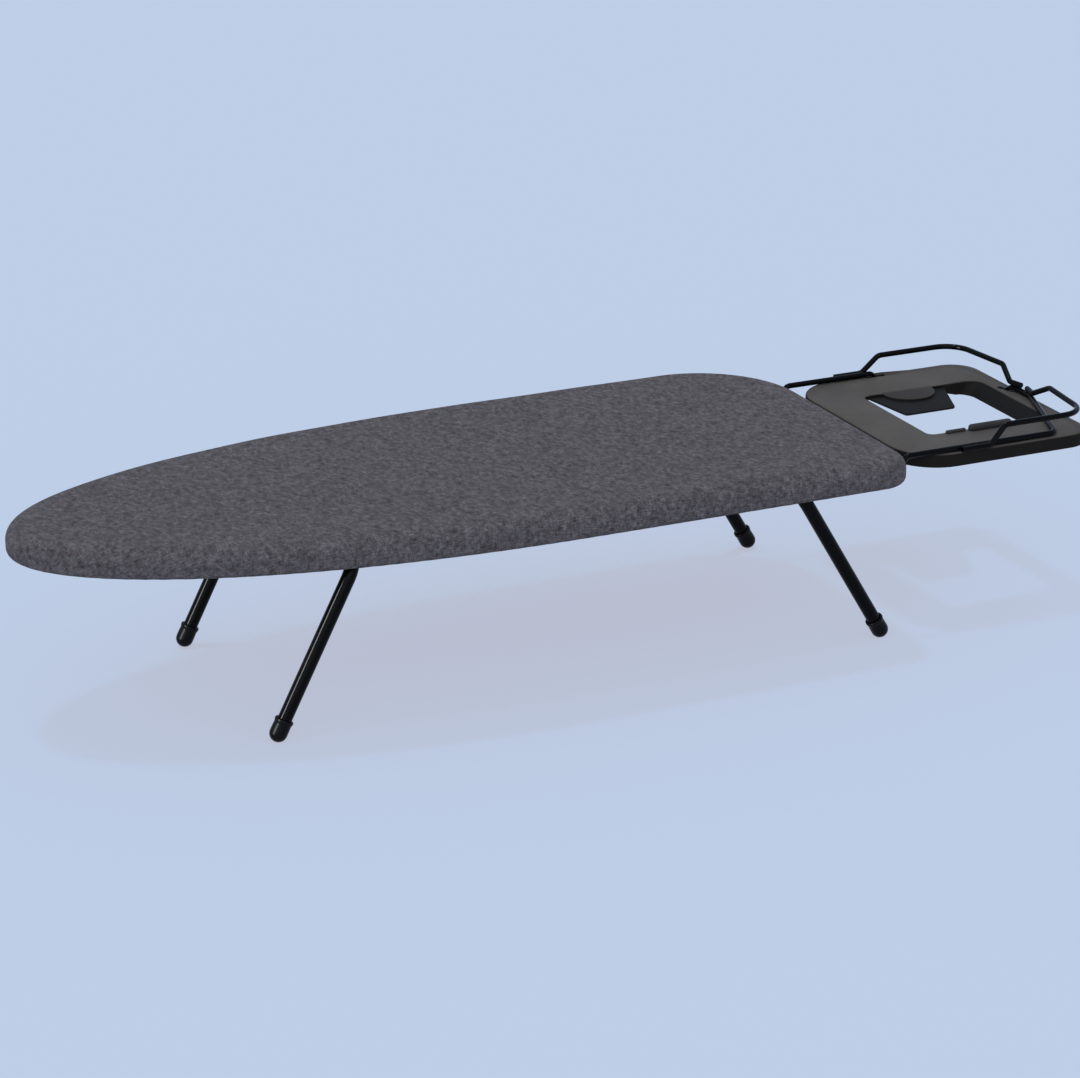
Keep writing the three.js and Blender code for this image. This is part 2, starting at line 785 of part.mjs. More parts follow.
// Carrier: one wire from rod to rod round the tray's end. It lies on the tray along the near
// side, and runs through two slots and under the top along the far side.
function makeCarrier() {
  const start = boardLength - rodGrip;
  const foot = boardLength + rodBendStart;
  const head = foot + rodRiseLength;
  const farDip = trayFront + farDipPlace;
  const tipDipEnd = tipDipPlace + tipDipWidth;
  const corners = [
    bend(start, -rodSpread, rodHeight, 0),
    bend(foot, -rodSpread, rodHeight, rodBendRadius),
    bend(head, -rodSpread, wireOnTray, rodBendRadius),
    bend(cornerX, -rodSpread, wireOnTray, carrierCornerRadius),
    bend(tipX, -carrierTipHalfWidth, wireOnTray, carrierTipRadius),
    bend(tipX, carrierTipHalfWidth, wireOnTray, carrierTipRadius),
    bend(slantX(tipDipPlace), tipDipPlace, wireOnTray, dipBendRadius),
    bend(slantX(tipDipEnd), tipDipEnd, wireUnderTray, dipBendRadius),
    bend(slantX(tipDipEnd), rodSpread - hiddenTurnInset, wireUnderTray, carrierTipRadius),
    bend(trayEnd - hiddenCornerInset, rodSpread, wireUnderTray, carrierCornerRadius),
    bend(farDip + dipLength, rodSpread, wireUnderTray, dipBendRadius),
    bend(farDip, rodSpread, wireOnTray, dipBendRadius),
    bend(head, rodSpread, wireOnTray, rodBendRadius),
    bend(foot, rodSpread, rodHeight, rodBendRadius),
    bend(start, rodSpread, rodHeight, 0),
  ];
  return bar(corners, wireBendSteps, wireRadius, wireSides);
}

// Guard: a raised wire over each rear corner of the tray, welded beside the rod at one end and
// on the carrier's tip at the other.
function makeGuard(sign) {
  const beside = rodSpread + 2 * wireRadius + gap;
  const above = wireOnTray + 2 * wireRadius + gap;
  const weldStart = trayFront + guardWeldStart;
  const weldEnd = weldStart + guardWeldLength;
  const high = wireOnTray + guardRise;
  const at = (x, y, z, radius) => bend(x, sign * y, z, radius);
  const corners = [
    at(weldStart, beside, wireOnTray, 0),
    at(weldEnd, beside, wireOnTray, guardBendRadius),
    at(weldEnd + guardRiseLength, guardSpread, high, guardBendRadius),
    at(trayEnd - guardCornerInset, guardSpread, high, guardCornerRadius),
    at(trayEnd - guardTurnInset, guardTurnPlace, high, guardTurnRadius),
    at(trayEnd - guardFootInset, guardFootPlace, above, guardBendRadius),
    at(tipX, guardEndPlace, above, 0),
  ];
  return bar(corners, wireBendSteps, wireRadius, wireSides);
}

// Tray: a moulded shell with a skirt, an opening, a stepped tab with a round boss, two slots
// for the carrier, and ribs under its front and near bands.
function makeTray() {
  const bottom = trayTop - trayDepth;
  const under = trayTop - trayWall;
  const edgeCentre = trayTop - trayEdgeRadius;
  const outer = (inset) =>
    roundedRectangle(
      trayFront + inset,
      trayEnd - inset,
      trayHalfWidth - inset,
      trayCornerRadius - inset,
      trayFrontRadius - inset,
    );
  const openingRing = (grow, height) =>
    roundedRectangle(
      trayFront + openingStart - grow,
      trayFront + openingEnd + (openingSlope * (height - bottom)) / trayDepth + grow,
      openingHalfWidth + grow,
      openingRadius + grow,
    ).map((p) => new THREE.Vector3(p.x, p.y, height));
  const opening = (grow) =>
    skin([openingRing(grow, bottom - cutOver), openingRing(grow, trayTop + cutOver)], false);
  const ring = (inset, height) => outer(inset).map((p) => new THREE.Vector3(p.x, p.y, height));
  const edge = arc(trayEdgeRadius, edgeCentre, trayEdgeRadius, Math.PI, Math.PI / 2, edgeSteps);
  const rings = [ring(0, bottom), ...edge.map((p) => ring(p.x, p.y))];
  const hollow = solid(prism(outer(trayWall), bottom - cutOver, under));
  let tray = solid(skin(rings, false)).subtract(hollow.subtract(solid(opening(trayWall))));

  const lipEnd = trayFront + openingEnd - openingRadius;
  const wide = openingHalfWidth + trayWall + ribWall;
  const raised = slab(
    new THREE.Vector3(trayFront + openingStart - trayWall - ribWall, -wide, bottom - cutOver),
    new THREE.Vector3(lipEnd, wide, trayTop - shallowLip),
  );
  tray = tray.subtract(solid(raised));

  const ribBottom = under - ribDepth;
  const seat = trayWall / 2;
  for (let i = 0; i < ribCount; i++) {
    const offset = (i - (ribCount - 1) / 2) * ribPitch;
    const x = trayFront + (openingStart + openingEnd) / 2 + offset;
    const nearRib = slab(
      new THREE.Vector3(x, seat - trayHalfWidth, ribBottom),
      new THREE.Vector3(x + ribWall, -openingHalfWidth - seat, under + seat),
    );
    const frontRib = slab(
      new THREE.Vector3(trayFront + seat, offset, ribBottom),
      new THREE.Vector3(trayFront + openingStart - seat, offset + ribWall, under + seat),
    );
    tray = tray.add(solid(nearRib)).add(solid(frontRib));
  }

  tray = tray.subtract(solid(opening(0)));

  const tabTop = trayTop - tabDrop;
  const farEdge = openingHalfWidth + seat;
  const tabNear = openingHalfWidth - tabReach;
  const tab = [
    new THREE.Vector2(trayFront + tabFarStart, farEdge),
    new THREE.Vector2(trayFront + tabNearStart, tabNear),
    new THREE.Vector2(trayFront + tabNearEnd, tabNear),
    new THREE.Vector2(trayFront + tabFarEnd, farEdge),
  ];
  const boss = [
    ...arc(trayFront + bossPlace, openingHalfWidth, bossRadius, Math.PI, 2 * Math.PI, tubeSides),
    new THREE.Vector2(trayFront + bossPlace + bossRadius, farEdge),
    new THREE.Vector2(trayFront + bossPlace - bossRadius, farEdge),
  ];
  tray = tray.add(solid(prism(tab, tabTop - tabThickness, tabTop)));
  tray = tray.add(solid(prism(boss, tabTop - tabThickness / 2, trayTop)));

  const slot = slab(
    new THREE.Vector3(-slotLength / 2, -slotWidth / 2, under - cutOver),
    new THREE.Vector3(slotLength / 2, slotWidth / 2, trayTop + cutOver),
  );
  const farSlot = slot.clone();
  farSlot.translate(trayFront + farDipPlace + dipLength / 2, rodSpread - gap / 2, 0);
  const tipSlotPlace = tipDipPlace + tipDipWidth / 2;
  const tipSlot = slot.clone();
  tipSlot.rotateZ(Math.atan2(rodSpread - carrierTipHalfWidth, cornerX - tipX));
  tipSlot.translate(slantX(tipSlotPlace), tipSlotPlace, 0);
  tray = tray.subtract(solid(farSlot)).subtract(solid(tipSlot));
  return geometryOf(tray);
}

// Silicone bars that the iron leans on, along the near side of the opening.
function makeRestBar(start, length, width, height) {
  const far = -openingHalfWidth - barClearance;
  const middle = far - width / 2;
  const outline = (inset) =>
    roundedRectangle(start + inset, start + length - inset, width / 2 - inset, width / 2 - inset);
  const ring = (inset, z) => outline(inset).map((p) => new THREE.Vector3(p.x, p.y + middle, z));
  const bottom = trayTop + gap;
  const top = bottom + height;
  return skin([ring(0, bottom), ring(0, top - barEdge), ring(barEdge, top)], false);
}

place("carrier_frame", makeCarrier(), blackCoat);
place("guard_wire_near", makeGuard(-1), blackCoat);
place("guard_wire_far", makeGuard(1), blackCoat);
place("iron_tray", makeTray(), trayPlastic);
const longBar = makeRestBar(trayFront + longBarStart, longBarLength, longBarWidth, longBarHeight);
place("rest_bar_long", longBar, greySilicone);
const shortBar = makeRestBar(
  trayFront + shortBarStart,
  shortBarLength,
  shortBarWidth,
  shortBarHeight,
);
place("rest_bar_short", shortBar, greySilicone);

export default board;
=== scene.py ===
"""A tabletop ironing board: covered deck on folding legs, and a wire-carried iron rest."""

import json
import math

import bmesh
import bpy
from mathutils import Matrix, Quaternion, Vector


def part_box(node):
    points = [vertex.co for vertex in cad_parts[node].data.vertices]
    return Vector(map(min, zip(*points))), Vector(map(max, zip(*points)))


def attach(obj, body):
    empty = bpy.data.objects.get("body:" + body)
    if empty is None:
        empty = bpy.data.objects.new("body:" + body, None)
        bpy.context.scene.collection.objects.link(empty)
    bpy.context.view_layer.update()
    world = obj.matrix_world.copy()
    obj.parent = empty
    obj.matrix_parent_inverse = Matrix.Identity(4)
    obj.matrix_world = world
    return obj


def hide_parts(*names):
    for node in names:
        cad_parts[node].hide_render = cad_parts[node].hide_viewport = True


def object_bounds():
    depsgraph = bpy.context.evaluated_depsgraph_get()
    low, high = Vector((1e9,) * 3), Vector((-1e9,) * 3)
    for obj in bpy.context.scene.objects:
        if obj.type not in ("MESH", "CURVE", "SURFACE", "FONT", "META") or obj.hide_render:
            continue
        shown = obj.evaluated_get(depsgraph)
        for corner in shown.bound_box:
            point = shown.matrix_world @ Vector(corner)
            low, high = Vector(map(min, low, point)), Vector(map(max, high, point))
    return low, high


bl_info = {
    "name": "Tabletop ironing board",
    "version": (1, 0, 0),
    "blender": (4, 5, 0),
    "location": "View3D > Sidebar > Ironing board",
    "description": "Dresses the packed ironing board in cloth, steel, rubber and plastic",
    "category": "Object",
}

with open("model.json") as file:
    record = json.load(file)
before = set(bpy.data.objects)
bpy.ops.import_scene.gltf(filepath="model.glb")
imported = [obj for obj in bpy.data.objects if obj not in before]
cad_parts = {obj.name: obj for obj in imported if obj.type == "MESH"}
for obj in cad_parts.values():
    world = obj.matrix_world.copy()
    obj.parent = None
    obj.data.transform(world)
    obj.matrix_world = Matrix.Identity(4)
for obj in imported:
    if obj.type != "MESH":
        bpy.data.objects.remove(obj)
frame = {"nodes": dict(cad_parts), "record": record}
cad_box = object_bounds()

MM = 0.001
NOSE_X = cad_box[0].x

# The board's outline
LENGTH = 1000 * MM
HALF_WIDTH = 204 * MM
NOSE_LENGTH = 610 * MM
NOSE_POWER = 2 / 2.15
NEAR_CORNER = 40 * MM
FAR_CORNER = 130 * MM
OUTLINE_STEPS = 600
CORNER_STEPS = 40
FACE_INSETS = (22 * MM, 28 * MM, 34 * MM)
SPINE_START = 85 * MM
SPINE_END = 905 * MM
SPINE_SHARE = 0.93

# Heights of the deck's layers
TOP = 229 * MM
EDGE_RADIUS = 18 * MM
HEM_RADIUS = 8 * MM
HEM_HEIGHT = 195 * MM
PAD_TOP = 227.5 * MM
PAD_BOTTOM = 218.5 * MM
PAD_EDGE = 16.5 * MM
MESH_MIDDLE = 217.6 * MM
RIM_TOP = 218.2 * MM
RIM_BOTTOM = 198 * MM
FLANGE_TOP = 216.7 * MM
SHEET = 1.2 * MM

# Leg frames
TUBE_RADIUS = 8 * MM
BEND_RADIUS = 30 * MM
LEG_HEIGHT = 200 * MM
FOOT_RADIUS = 10 * MM
FOOT_FLAT = 0.5 * MM
STOP_TILT = math.radians(30)
LEGS = {
    "nose": {"axis": 341.2 * MM, "lean": 27.0, "spread": 149 * MM},
    "rear": {"axis": 866.7 * MM, "lean": -31.0, "spread": 161 * MM},
}

# Iron rest, in millimetres from the tip of the nose, from the middle and from the table
WIRE_RADIUS = 3.4
WELD_GAP = 0.3
ROD_SPREAD = 142
ROD_HEIGHT = 191.2
WIRE_OVER = 208.7
WIRE_UNDER = 198.8
CARRIER_CORNER = 1221
CARRIER_TIP = 1268
TIP_HALF_WIDTH = 14
DIP_START, DIP_END = 24, 36
FAR_DIP_START, FAR_DIP_END = 1137, 1150
TRAY_FRONT = 1026
TRAY_END = 1274
TRAY_HALF_WIDTH = 148.5
TRAY_HIGH = 205
TRAY_LOW = 189
OPENING_HALF_WIDTH = 78.5
BOSS_X = 1151
BOSS_RADIUS = 34


def at(x, y, z):
    """A place given in millimetres from the tip of the nose."""
    return Vector((NOSE_X + x * MM, y * MM, z * MM))


# Meshes


def sharp_edges(bm, degrees):
    """Shades the mesh smooth, apart from edges that turn by more than an angle."""
    limit = math.radians(degrees)
    for face in bm.faces:
        face.smooth = True
    for edge in bm.edges:
        edge.smooth = len(edge.link_faces) != 2 or edge.calc_face_angle(0) < limit


def finished(name, bm, finish, body, node, angle=32):
    """Turns a bmesh into a piece that rides on a body and stands for its CAD node."""
    sharp_edges(bm, angle)
    mesh = bpy.data.meshes.new(name)
    bm.to_mesh(mesh)
    bm.free()
    piece = bpy.data.objects.new(name, mesh)
    bpy.context.scene.collection.objects.link(piece)
    mesh.materials.append(finish)
    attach(piece, body)
    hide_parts(node)
    return piece


def round_ring(bm, count):
    """A ring of vertices, in order round a circle."""
    made = bmesh.ops.create_circle(bm, segments=count, radius=1)["verts"]
    return sorted(made, key=lambda v: math.atan2(v.co.y, v.co.x))


def set_ring(ring, places):
    for vertex, place in zip(ring, places):
        vertex.co = place
    return ring


def ring_edges(bm, ring):
    return [bm.edges.get((ring[i - 1], ring[i])) for i in range(len(ring))]


def pull_ring(bm, ring, places):
    """Extrudes a closed ring and moves the new ring to its places."""
    made = bmesh.ops.extrude_edge_only(bm, edges=ring_edges(bm, ring))
    fresh = {v for v in made["geom"] if isinstance(v, bmesh.types.BMVert)}
    pulled = []
    for vertex, place in zip(ring, places):
        ends = (edge.other_vert(vertex) for edge in vertex.link_edges)
        partner = next(end for end in ends if end in fresh)
        partner.co = place
        pulled.append(partner)
    return pulled


def pull_rings(bm, ring, rings):
    for places in rings:
        ring = pull_ring(bm, ring, places)
    return ring


def closed_section(rings):
    """A tube of rings whose last one meets the first."""
    bm = bmesh.new()
    first = set_ring(round_ring(bm, len(rings[0])), rings[0])
    pull_rings(bm, first, rings[1:])
    face_outwards(bm, 0.001 * MM)
    return bm


def cap(bm, ring):
    bmesh.ops.contextual_create(bm, geom=ring_edges(bm, ring))


def close_spine(bm, ring):
    """Fills the gap that the rings leave along the deck's middle."""
    bmesh.ops.triangle_fill(bm, use_beauty=True, edges=ring_edges(bm, ring), normal=(0, 0, 1))


def face_outwards(bm, merge=0.0):
    if merge:
        bmesh.ops.remove_doubles(bm, verts=bm.verts, dist=merge)
    bmesh.ops.recalc_face_normals(bm, faces=bm.faces)


def round_edges(bm, edges, width, segments=2):
    bmesh.ops.bevel(
        bm, geom=edges, offset=width, offset_type="OFFSET", affect="EDGES",
        segments=segments, profile=0.5, material=-1, clamp_overlap=True,
    )


def face_upwards(bm):
    """Turns an open sheet's faces so that its top side looks up."""
    if sum(f.normal.z * f.calc_area() for f in bm.faces) < 0:
        bmesh.ops.reverse_faces(bm, faces=bm.faces)


def turned(bm, profile, steps):
    """Turns a profile of radius and height pairs, in millimetres, round an upright axis."""
    spots = [bm.verts.new((x * MM, 0, z * MM)) for x, z in profile]
    edges = [bm.edges.new(pair) for pair in zip(spots, spots[1:])]
    bmesh.ops.spin(
        bm, geom=spots + edges, cent=(0, 0, 0), axis=(0, 0, 1), dvec=(0, 0, 0),
        angle=2 * math.pi, steps=steps, use_merge=True, use_duplicate=False,
    )


def turning_edges(bm, degrees):
    limit = math.radians(degrees)
    return [e for e in bm.edges if len(e.link_faces) == 2 and e.calc_face_angle(0) > limit]


def refined(node, width, finish, segments=2):
    """A copy of a CAD node with its flat faces joined and its sharp edges rounded."""
    bm = bmesh.new()
    bm.from_mesh(frame["nodes"][node].data)
    bmesh.ops.remove_doubles(bm, verts=bm.verts, dist=0.01 * MM)
    bmesh.ops.dissolve_limit(
        bm, angle_limit=math.radians(1), verts=bm.verts, edges=bm.edges
    )
    round_edges(bm, turning_edges(bm, 35), width, segments)
    body = next(b for b, names in frame["record"]["behaviour"]["bodies"].items() if node in names)
    return finished(node + "_dressed", bm, finish, body, node)


# The board's edge line, and rings along it


def nose_and_side(corner):
    """Half of the outline, from the tip of the nose round a rear corner to the end."""
    half = []
    for i in range(OUTLINE_STEPS + 1):
        angle = math.pi / 2 * i / OUTLINE_STEPS
        fall = max(math.cos(angle), 0.0)
        half.append(Vector((NOSE_LENGTH * (1 - fall**NOSE_POWER), HALF_WIDTH * math.sin(angle))))
    centre = Vector((LENGTH - corner, HALF_WIDTH - corner))
    for i in range(CORNER_STEPS + 1):
        angle = math.pi / 2 * (1 - i / CORNER_STEPS)
        half.append(centre + corner * Vector((math.cos(angle), math.sin(angle))))
    return half


def edge_line(count):
    """Evenly spaced places on the whole outline, each with its outward direction."""
    near = [Vector((p.x, -p.y)) for p in nose_and_side(NEAR_CORNER)]
    line = nose_and_side(FAR_CORNER) + near[:0:-1]
    lengths = [(line[(i + 1) % len(line)] - line[i]).length for i in range(len(line))]
    total = sum(lengths)
    places, walked, i = [], 0.0, 0
    for k in range(count):
        goal = total * k / count
        while walked + lengths[i] < goal:
            walked += lengths[i]
            i += 1
        share = (goal - walked) / lengths[i] if lengths[i] else 0.0
        places.append(line[i].lerp(line[(i + 1) % len(line)], share))
    pairs = []
    for k in range(count):
        along = (places[(k + 1) % count] - places[k - 1]).normalized()
        pairs.append((places[k], Vector((-along.y, along.x))))
    return pairs


def edge_ring(line, inset, height):
    """One ring of places at a distance inside the outline."""
    ring = []
    for place, outward in line:
        spot = place - outward * inset
        ring.append(Vector((NOSE_X + spot.x, spot.y, height)))
    return ring


def arc(inset, height, radius, start, end, steps):
    """Inset and height pairs round a centre. 90 degrees is up, 180 is outwards."""
    pairs = []
    for i in range(steps + 1):
        angle = math.radians(start + (end - start) * i / steps)
        pairs.append((inset + radius * math.cos(angle), height + radius * math.sin(angle)))
    return pairs


def towards_spine(ring, steps, last_height):
    """Rings that run in over the deck's face, up to a narrow gap along its middle."""
    low, high = NOSE_X + SPINE_START, NOSE_X + SPINE_END
    rings = []
    for i in range(1, steps + 1):
        share = SPINE_SHARE * i / steps
        places = []
        for place in ring:
            goal = Vector((min(max(place.x, low), high), 0, last_height))
            places.append(place.lerp(goal, share))
        rings.append(places)
    return rings


def wander(x, y, size, seed=0.0):
    """A slow unevenness between about -1 and 1, with hills of about the given size."""
    a, b = x / size, y / size
    return (
        math.sin(2.1 * a + 1.3 * b + seed)
        + math.sin(-1.2 * a + 2.4 * b + 1.9 + 2 * seed)
        + math.sin(3.3 * a - 0.8 * b + 4.2 - seed)
    ) / 3


# Bent tubes and wires


def bent(corners, steps):
    """Places and directions along a path whose corners are rounded by their radius."""
    stations = []
    last = len(corners) - 1
    for i, (corner, radius) in enumerate(corners):
        if i in (0, last):
            span = corners[1][0] - corner if i == 0 else corner - corners[last - 1][0]
            stations.append((corner, span.normalized()))
            continue
        into = (corner - corners[i - 1][0]).normalized()
        out = (corners[i + 1][0] - corner).normalized()
        turn = into.angle(out)
        side = (out - into * math.cos(turn)).normalized()
        start = corner - into * radius * math.tan(turn / 2)
        for k in range(steps + 1):
            angle = turn * k / steps
            place = start + into * radius * math.sin(angle)
            place += side * radius * (1 - math.cos(angle))
            stations.append((place, into * math.cos(angle) + side * math.sin(angle)))
    return stations


def sweep(bm, stations, radius, sides, edge):
    """Pulls a round section along the stations. The ends are chamfered by the edge."""
    first, last = stations[0], stations[-1]
    stations = (
        [(first[0], first[1]), (first[0] + first[1] * edge, first[1])]
        + stations[1:-1]
        + [(last[0] - last[1] * edge, last[1]), (last[0], last[1])]
    )
    widths = [radius - edge] + [radius] * (len(stations) - 2) + [radius - edge]
    direction = stations[0][1]
    across = direction.orthogonal().normalized()
    rings = []
    for (place, heading), width in zip(stations, widths):
        across.rotate(direction.rotation_difference(heading))
        direction = heading
        up = direction.cross(across).normalized()
        ring = []
        for k in range(sides):
            angle = 2 * math.pi * k / sides
            ring.append(place + width * (math.cos(angle) * across + math.sin(angle) * up))
        rings.append(ring)
    start = set_ring(round_ring(bm, sides), rings[0])
    cap(bm, start)
    cap(bm, pull_rings(bm, start, rings[1:]))


def weld_bead(bm, place, along, length, radius):
    """A run of small overlapping drops of weld, each a little larger or smaller."""
    drop_pitch = 1.1 * radius
    unevenness = 0.12
    drops = max(2, round(length / drop_pitch))
    for i in range(drops):
        share = (i + 0.5) / drops - 0.5
        size = radius * (1 + unevenness * math.sin(5.1 * i + 40 * place.x))
        spot = Matrix.Translation(place + along.normalized() * length * share)
        bmesh.ops.create_icosphere(bm, subdivisions=2, radius=size, matrix=spot)


# Finishes


class Finish:
    """A material with one Principled shader, and short ways to add nodes to it."""

    def __init__(self, name, color, roughness, **sockets):
        self.material = bpy.data.materials.new(name)
        self.material.use_nodes = True
        self.nodes = self.material.node_tree.nodes
        self.links = self.material.node_tree.links
        self.shader = self.nodes["Principled BSDF"]
        self.color = tuple(color)[:3] + (1.0,)
        self.shader.inputs["Base Color"].default_value = self.color
        self.shader.inputs["Roughness"].default_value = roughness
        for socket, value in sockets.items():
            self.shader.inputs[socket.replace("_", " ")].default_value = value
        coordinates = self.nodes.new("ShaderNodeTexCoord")
        self.place = coordinates.outputs["Object"]
        self.cloth = coordinates.outputs["UV"]

    def put(self, value, socket):
        if isinstance(value, bpy.types.NodeSocket):
            self.links.new(value, socket)
        else:
            socket.default_value = value

    def stretched(self, vector, scale):
        """The coordinates, scaled to how many features fit in a metre each way."""
        node = self.nodes.new("ShaderNodeMapping")
        self.put(vector, node.inputs["Vector"])
        node.inputs["Scale"].default_value = scale
        return node.outputs["Vector"]

    def noise(self, vector, scale, detail=2.0, roughness=0.5):
        node = self.nodes.new("ShaderNodeTexNoise")
        self.put(vector, node.inputs["Vector"])
        node.inputs["Scale"].default_value = scale
        node.inputs["Detail"].default_value = detail
        node.inputs["Roughness"].default_value = roughness
        return node.outputs["Fac"]

    def cells(self, vector, scale, output="Distance"):
        node = self.nodes.new("ShaderNodeTexVoronoi")
        self.put(vector, node.inputs["Vector"])
        node.inputs["Scale"].default_value = scale
        return node.outputs[output]

    def math(self, operation, first, second=0.0):
        node = self.nodes.new("ShaderNodeMath")
        node.operation = operation
        self.put(first, node.inputs[0])
        self.put(second, node.inputs[1])
        return node.outputs[0]

    def times(self, first, second):
        return self.math("MULTIPLY", first, second)

    def split(self, vector):
        node = self.nodes.new("ShaderNodeSeparateXYZ")
        self.links.new(vector, node.inputs[0])
        return node.outputs["X"], node.outputs["Y"], node.outputs["Z"]

    def around(self, value, spread):
        """Maps a texture's usual range to numbers round 1."""
        return self.span(value, 1 - spread, 1 + spread)

    def span(self, value, low, high, start=0.3, end=0.7):
        """Maps a texture's usual range to the numbers from low to high."""
        node = self.nodes.new("ShaderNodeMapRange")
        self.put(value, node.inputs["Value"])
        for socket, number in zip(("From Min", "From Max", "To Min", "To Max"),
                                  (start, end, low, high)):
            node.inputs[socket].default_value = number
        return node.outputs["Result"]

    def blend(self, share, first, second):
        node = self.nodes.new("ShaderNodeMix")
        node.data_type = "RGBA"
        self.put(share, node.inputs["Factor"])
        self.put(first, node.inputs[6])
        self.put(second, node.inputs[7])
        return node.outputs[2]

    def scaled(self, color, factor):
        node = self.nodes.new("ShaderNodeVectorMath")
        node.operation = "SCALE"
        if isinstance(color, bpy.types.NodeSocket):
            self.links.new(color, node.inputs[0])
        else:
            node.inputs[0].default_value = tuple(color)[:3]
        self.put(factor, node.inputs["Scale"])
        return node.outputs[0]

    def bump(self, height, distance, strength=1.0, under=None):
        node = self.nodes.new("ShaderNodeBump")
        node.inputs["Strength"].default_value = strength
        node.inputs["Distance"].default_value = distance
        self.put(height, node.inputs["Height"])
        if under:
            self.links.new(under, node.inputs["Normal"])
        return node.outputs["Normal"]

    def use(self, color=None, roughness=None, normal=None):
        for socket, value in (("Base Color", color), ("Roughness", roughness), ("Normal", normal)):
            if value is not None:
                self.links.new(value, self.shader.inputs[socket])
        return self.material


def heathered_cloth(color, contrast):
    """Melange weave: mixed light and dark yarn, with specks a few millimetres wide."""
    f = Finish("heathered_cloth", color, 0.95, Sheen_Weight=0.03, Sheen_Roughness=0.5,
               Specular_IOR_Level=0.1)
    specks = f.noise(f.stretched(f.place, (1.0, 0.65, 1.0)), 165, detail=4.0, roughness=0.8)
    weft = f.noise(f.stretched(f.cloth, (130, 800, 1)), 1.0, detail=1.0)
    warp = f.noise(f.stretched(f.cloth, (850, 120, 1)), 1.0, detail=1.0)
    clouds = f.noise(f.cloth, 48)
    light = f.around(specks, contrast)
    light = f.times(light, f.around(weft, 0.5 * contrast))
    light = f.times(light, f.around(warp, 0.35 * contrast))
    light = f.times(light, f.around(clouds, 0.08))
    warm = (color[0] * 1.09, color[1] * 0.985, color[2] * 0.93, 1)
    cool = (color[0] * 0.91, color[1] * 1.015, color[2] * 1.07, 1)
    yarn = f.blend(f.span(f.noise(f.cloth, 310), 0, 1), warm, cool)
    yarn_pitch = 1.5 * MM
    across, along, _ = f.split(f.cloth)
    over = f.math("SINE", f.times(across, 2 * math.pi / yarn_pitch))
    under = f.math("SINE", f.times(along, 2 * math.pi / yarn_pitch))
    slubs = f.bump(specks, 0.35 * MM, 0.5)
    weave = f.bump(f.times(over, under), 0.12 * MM, 0.6, slubs)
    return f.use(f.scaled(yarn, light), None, weave)


def needled_felt(color):
    """Pale felt: fibres that lie along the board, with flecks and needle pits."""
    f = Finish("needled_felt", color, 1.0, Sheen_Weight=0.2, Specular_IOR_Level=0.1)
    fibres = f.noise(f.stretched(f.place, (900, 260, 400)), 1.0, detail=3.0, roughness=0.7)
    flecks = f.noise(f.place, 120, detail=3.0, roughness=0.6)
    light = f.times(f.span(fibres, 0.82, 1.16), f.span(flecks, 0.88, 1.1))
    pits = f.bump(f.cells(f.place, 260), 0.5 * MM, 0.4)
    return f.use(f.scaled(color, light), None, f.bump(fibres, 0.4 * MM, 0.8, pits))


def braided_cord(color):
    """Dark elastic with the strands of its braid."""
    f = Finish("braided_cord", color, 0.85, Sheen_Weight=0.3)
    braid = f.noise(f.stretched(f.cloth, (900, 900, 900)), 1.0, detail=1.0)
    strands = f.cells(f.cloth, 1400)
    light = f.span(braid, 0.7, 1.5)
    return f.use(f.scaled(color, light), None, f.bump(strands, 0.25 * MM, 0.9))


def zinc(name, color, roughness, spangle):
    """Zinc on steel: pale crystals, rolling lines and a few dull spots."""
    f = Finish(name, color, roughness, Metallic=1.0)
    crystals = f.cells(f.place, spangle, output="Color")
    grey = f.nodes.new("ShaderNodeRGBToBW")
    f.links.new(crystals, grey.inputs[0])
    dull = f.noise(f.place, 45, detail=4.0, roughness=0.6)
    lines = f.noise(f.stretched(f.place, (40, 1600, 1600)), 1.0)
    light = f.times(f.span(grey.outputs[0], 0.88, 1.12, 0, 1), f.span(dull, 0.85, 1.08))
    gloss = f.math("ADD", f.span(lines, -0.05, 0.05), f.span(dull, roughness + 0.12, roughness))
    return f.use(f.scaled(color, light), gloss, f.bump(lines, 0.05 * MM, 0.4))


def black_coat(color, roughness):
    """Glossy stoved coat with a faint orange peel and dust-dulled patches."""
    f = Finish("black_coat", color, roughness, Specular_IOR_Level=0.08)
    peel = f.noise(f.place, 700)
    dust = f.noise(f.place, 30, detail=4.0, roughness=0.65)
    light = f.span(dust, 0.8, 1.5)
    gloss = f.span(dust, roughness, roughness + 0.06)
    return f.use(f.scaled(color, light), gloss, f.bump(peel, 0.02 * MM, 0.4))


def moulded(name, color, roughness, grain, depth, spread=0.15, gloss_level=0.12, shade=None):
    """A moulded surface: spark-eroded grain, handling shine, and painted shade if given."""
    f = Finish(name, color, roughness, Specular_IOR_Level=gloss_level)
    grains = f.noise(f.place, grain, detail=3.0, roughness=0.65)
    pits = f.cells(f.place, grain * 0.8)
    handled = f.noise(f.place, 22, detail=3.0, roughness=0.6)
    light = f.times(f.around(handled, spread), f.span(grains, 0.9, 1.12))
    wear = f.span(grains, roughness - 0.05, roughness + 0.08)
    gloss = f.math("ADD", f.span(handled, -0.06, 0.06), wear)
    # Painted shade, where a piece is given it, darkens the colour
    if shade:
        light = f.times(light, shade(f))
    grained = f.bump(grains, depth, 0.6, f.bump(pits, depth, 0.35))
    return f.use(f.scaled(color, light), gloss, grained)


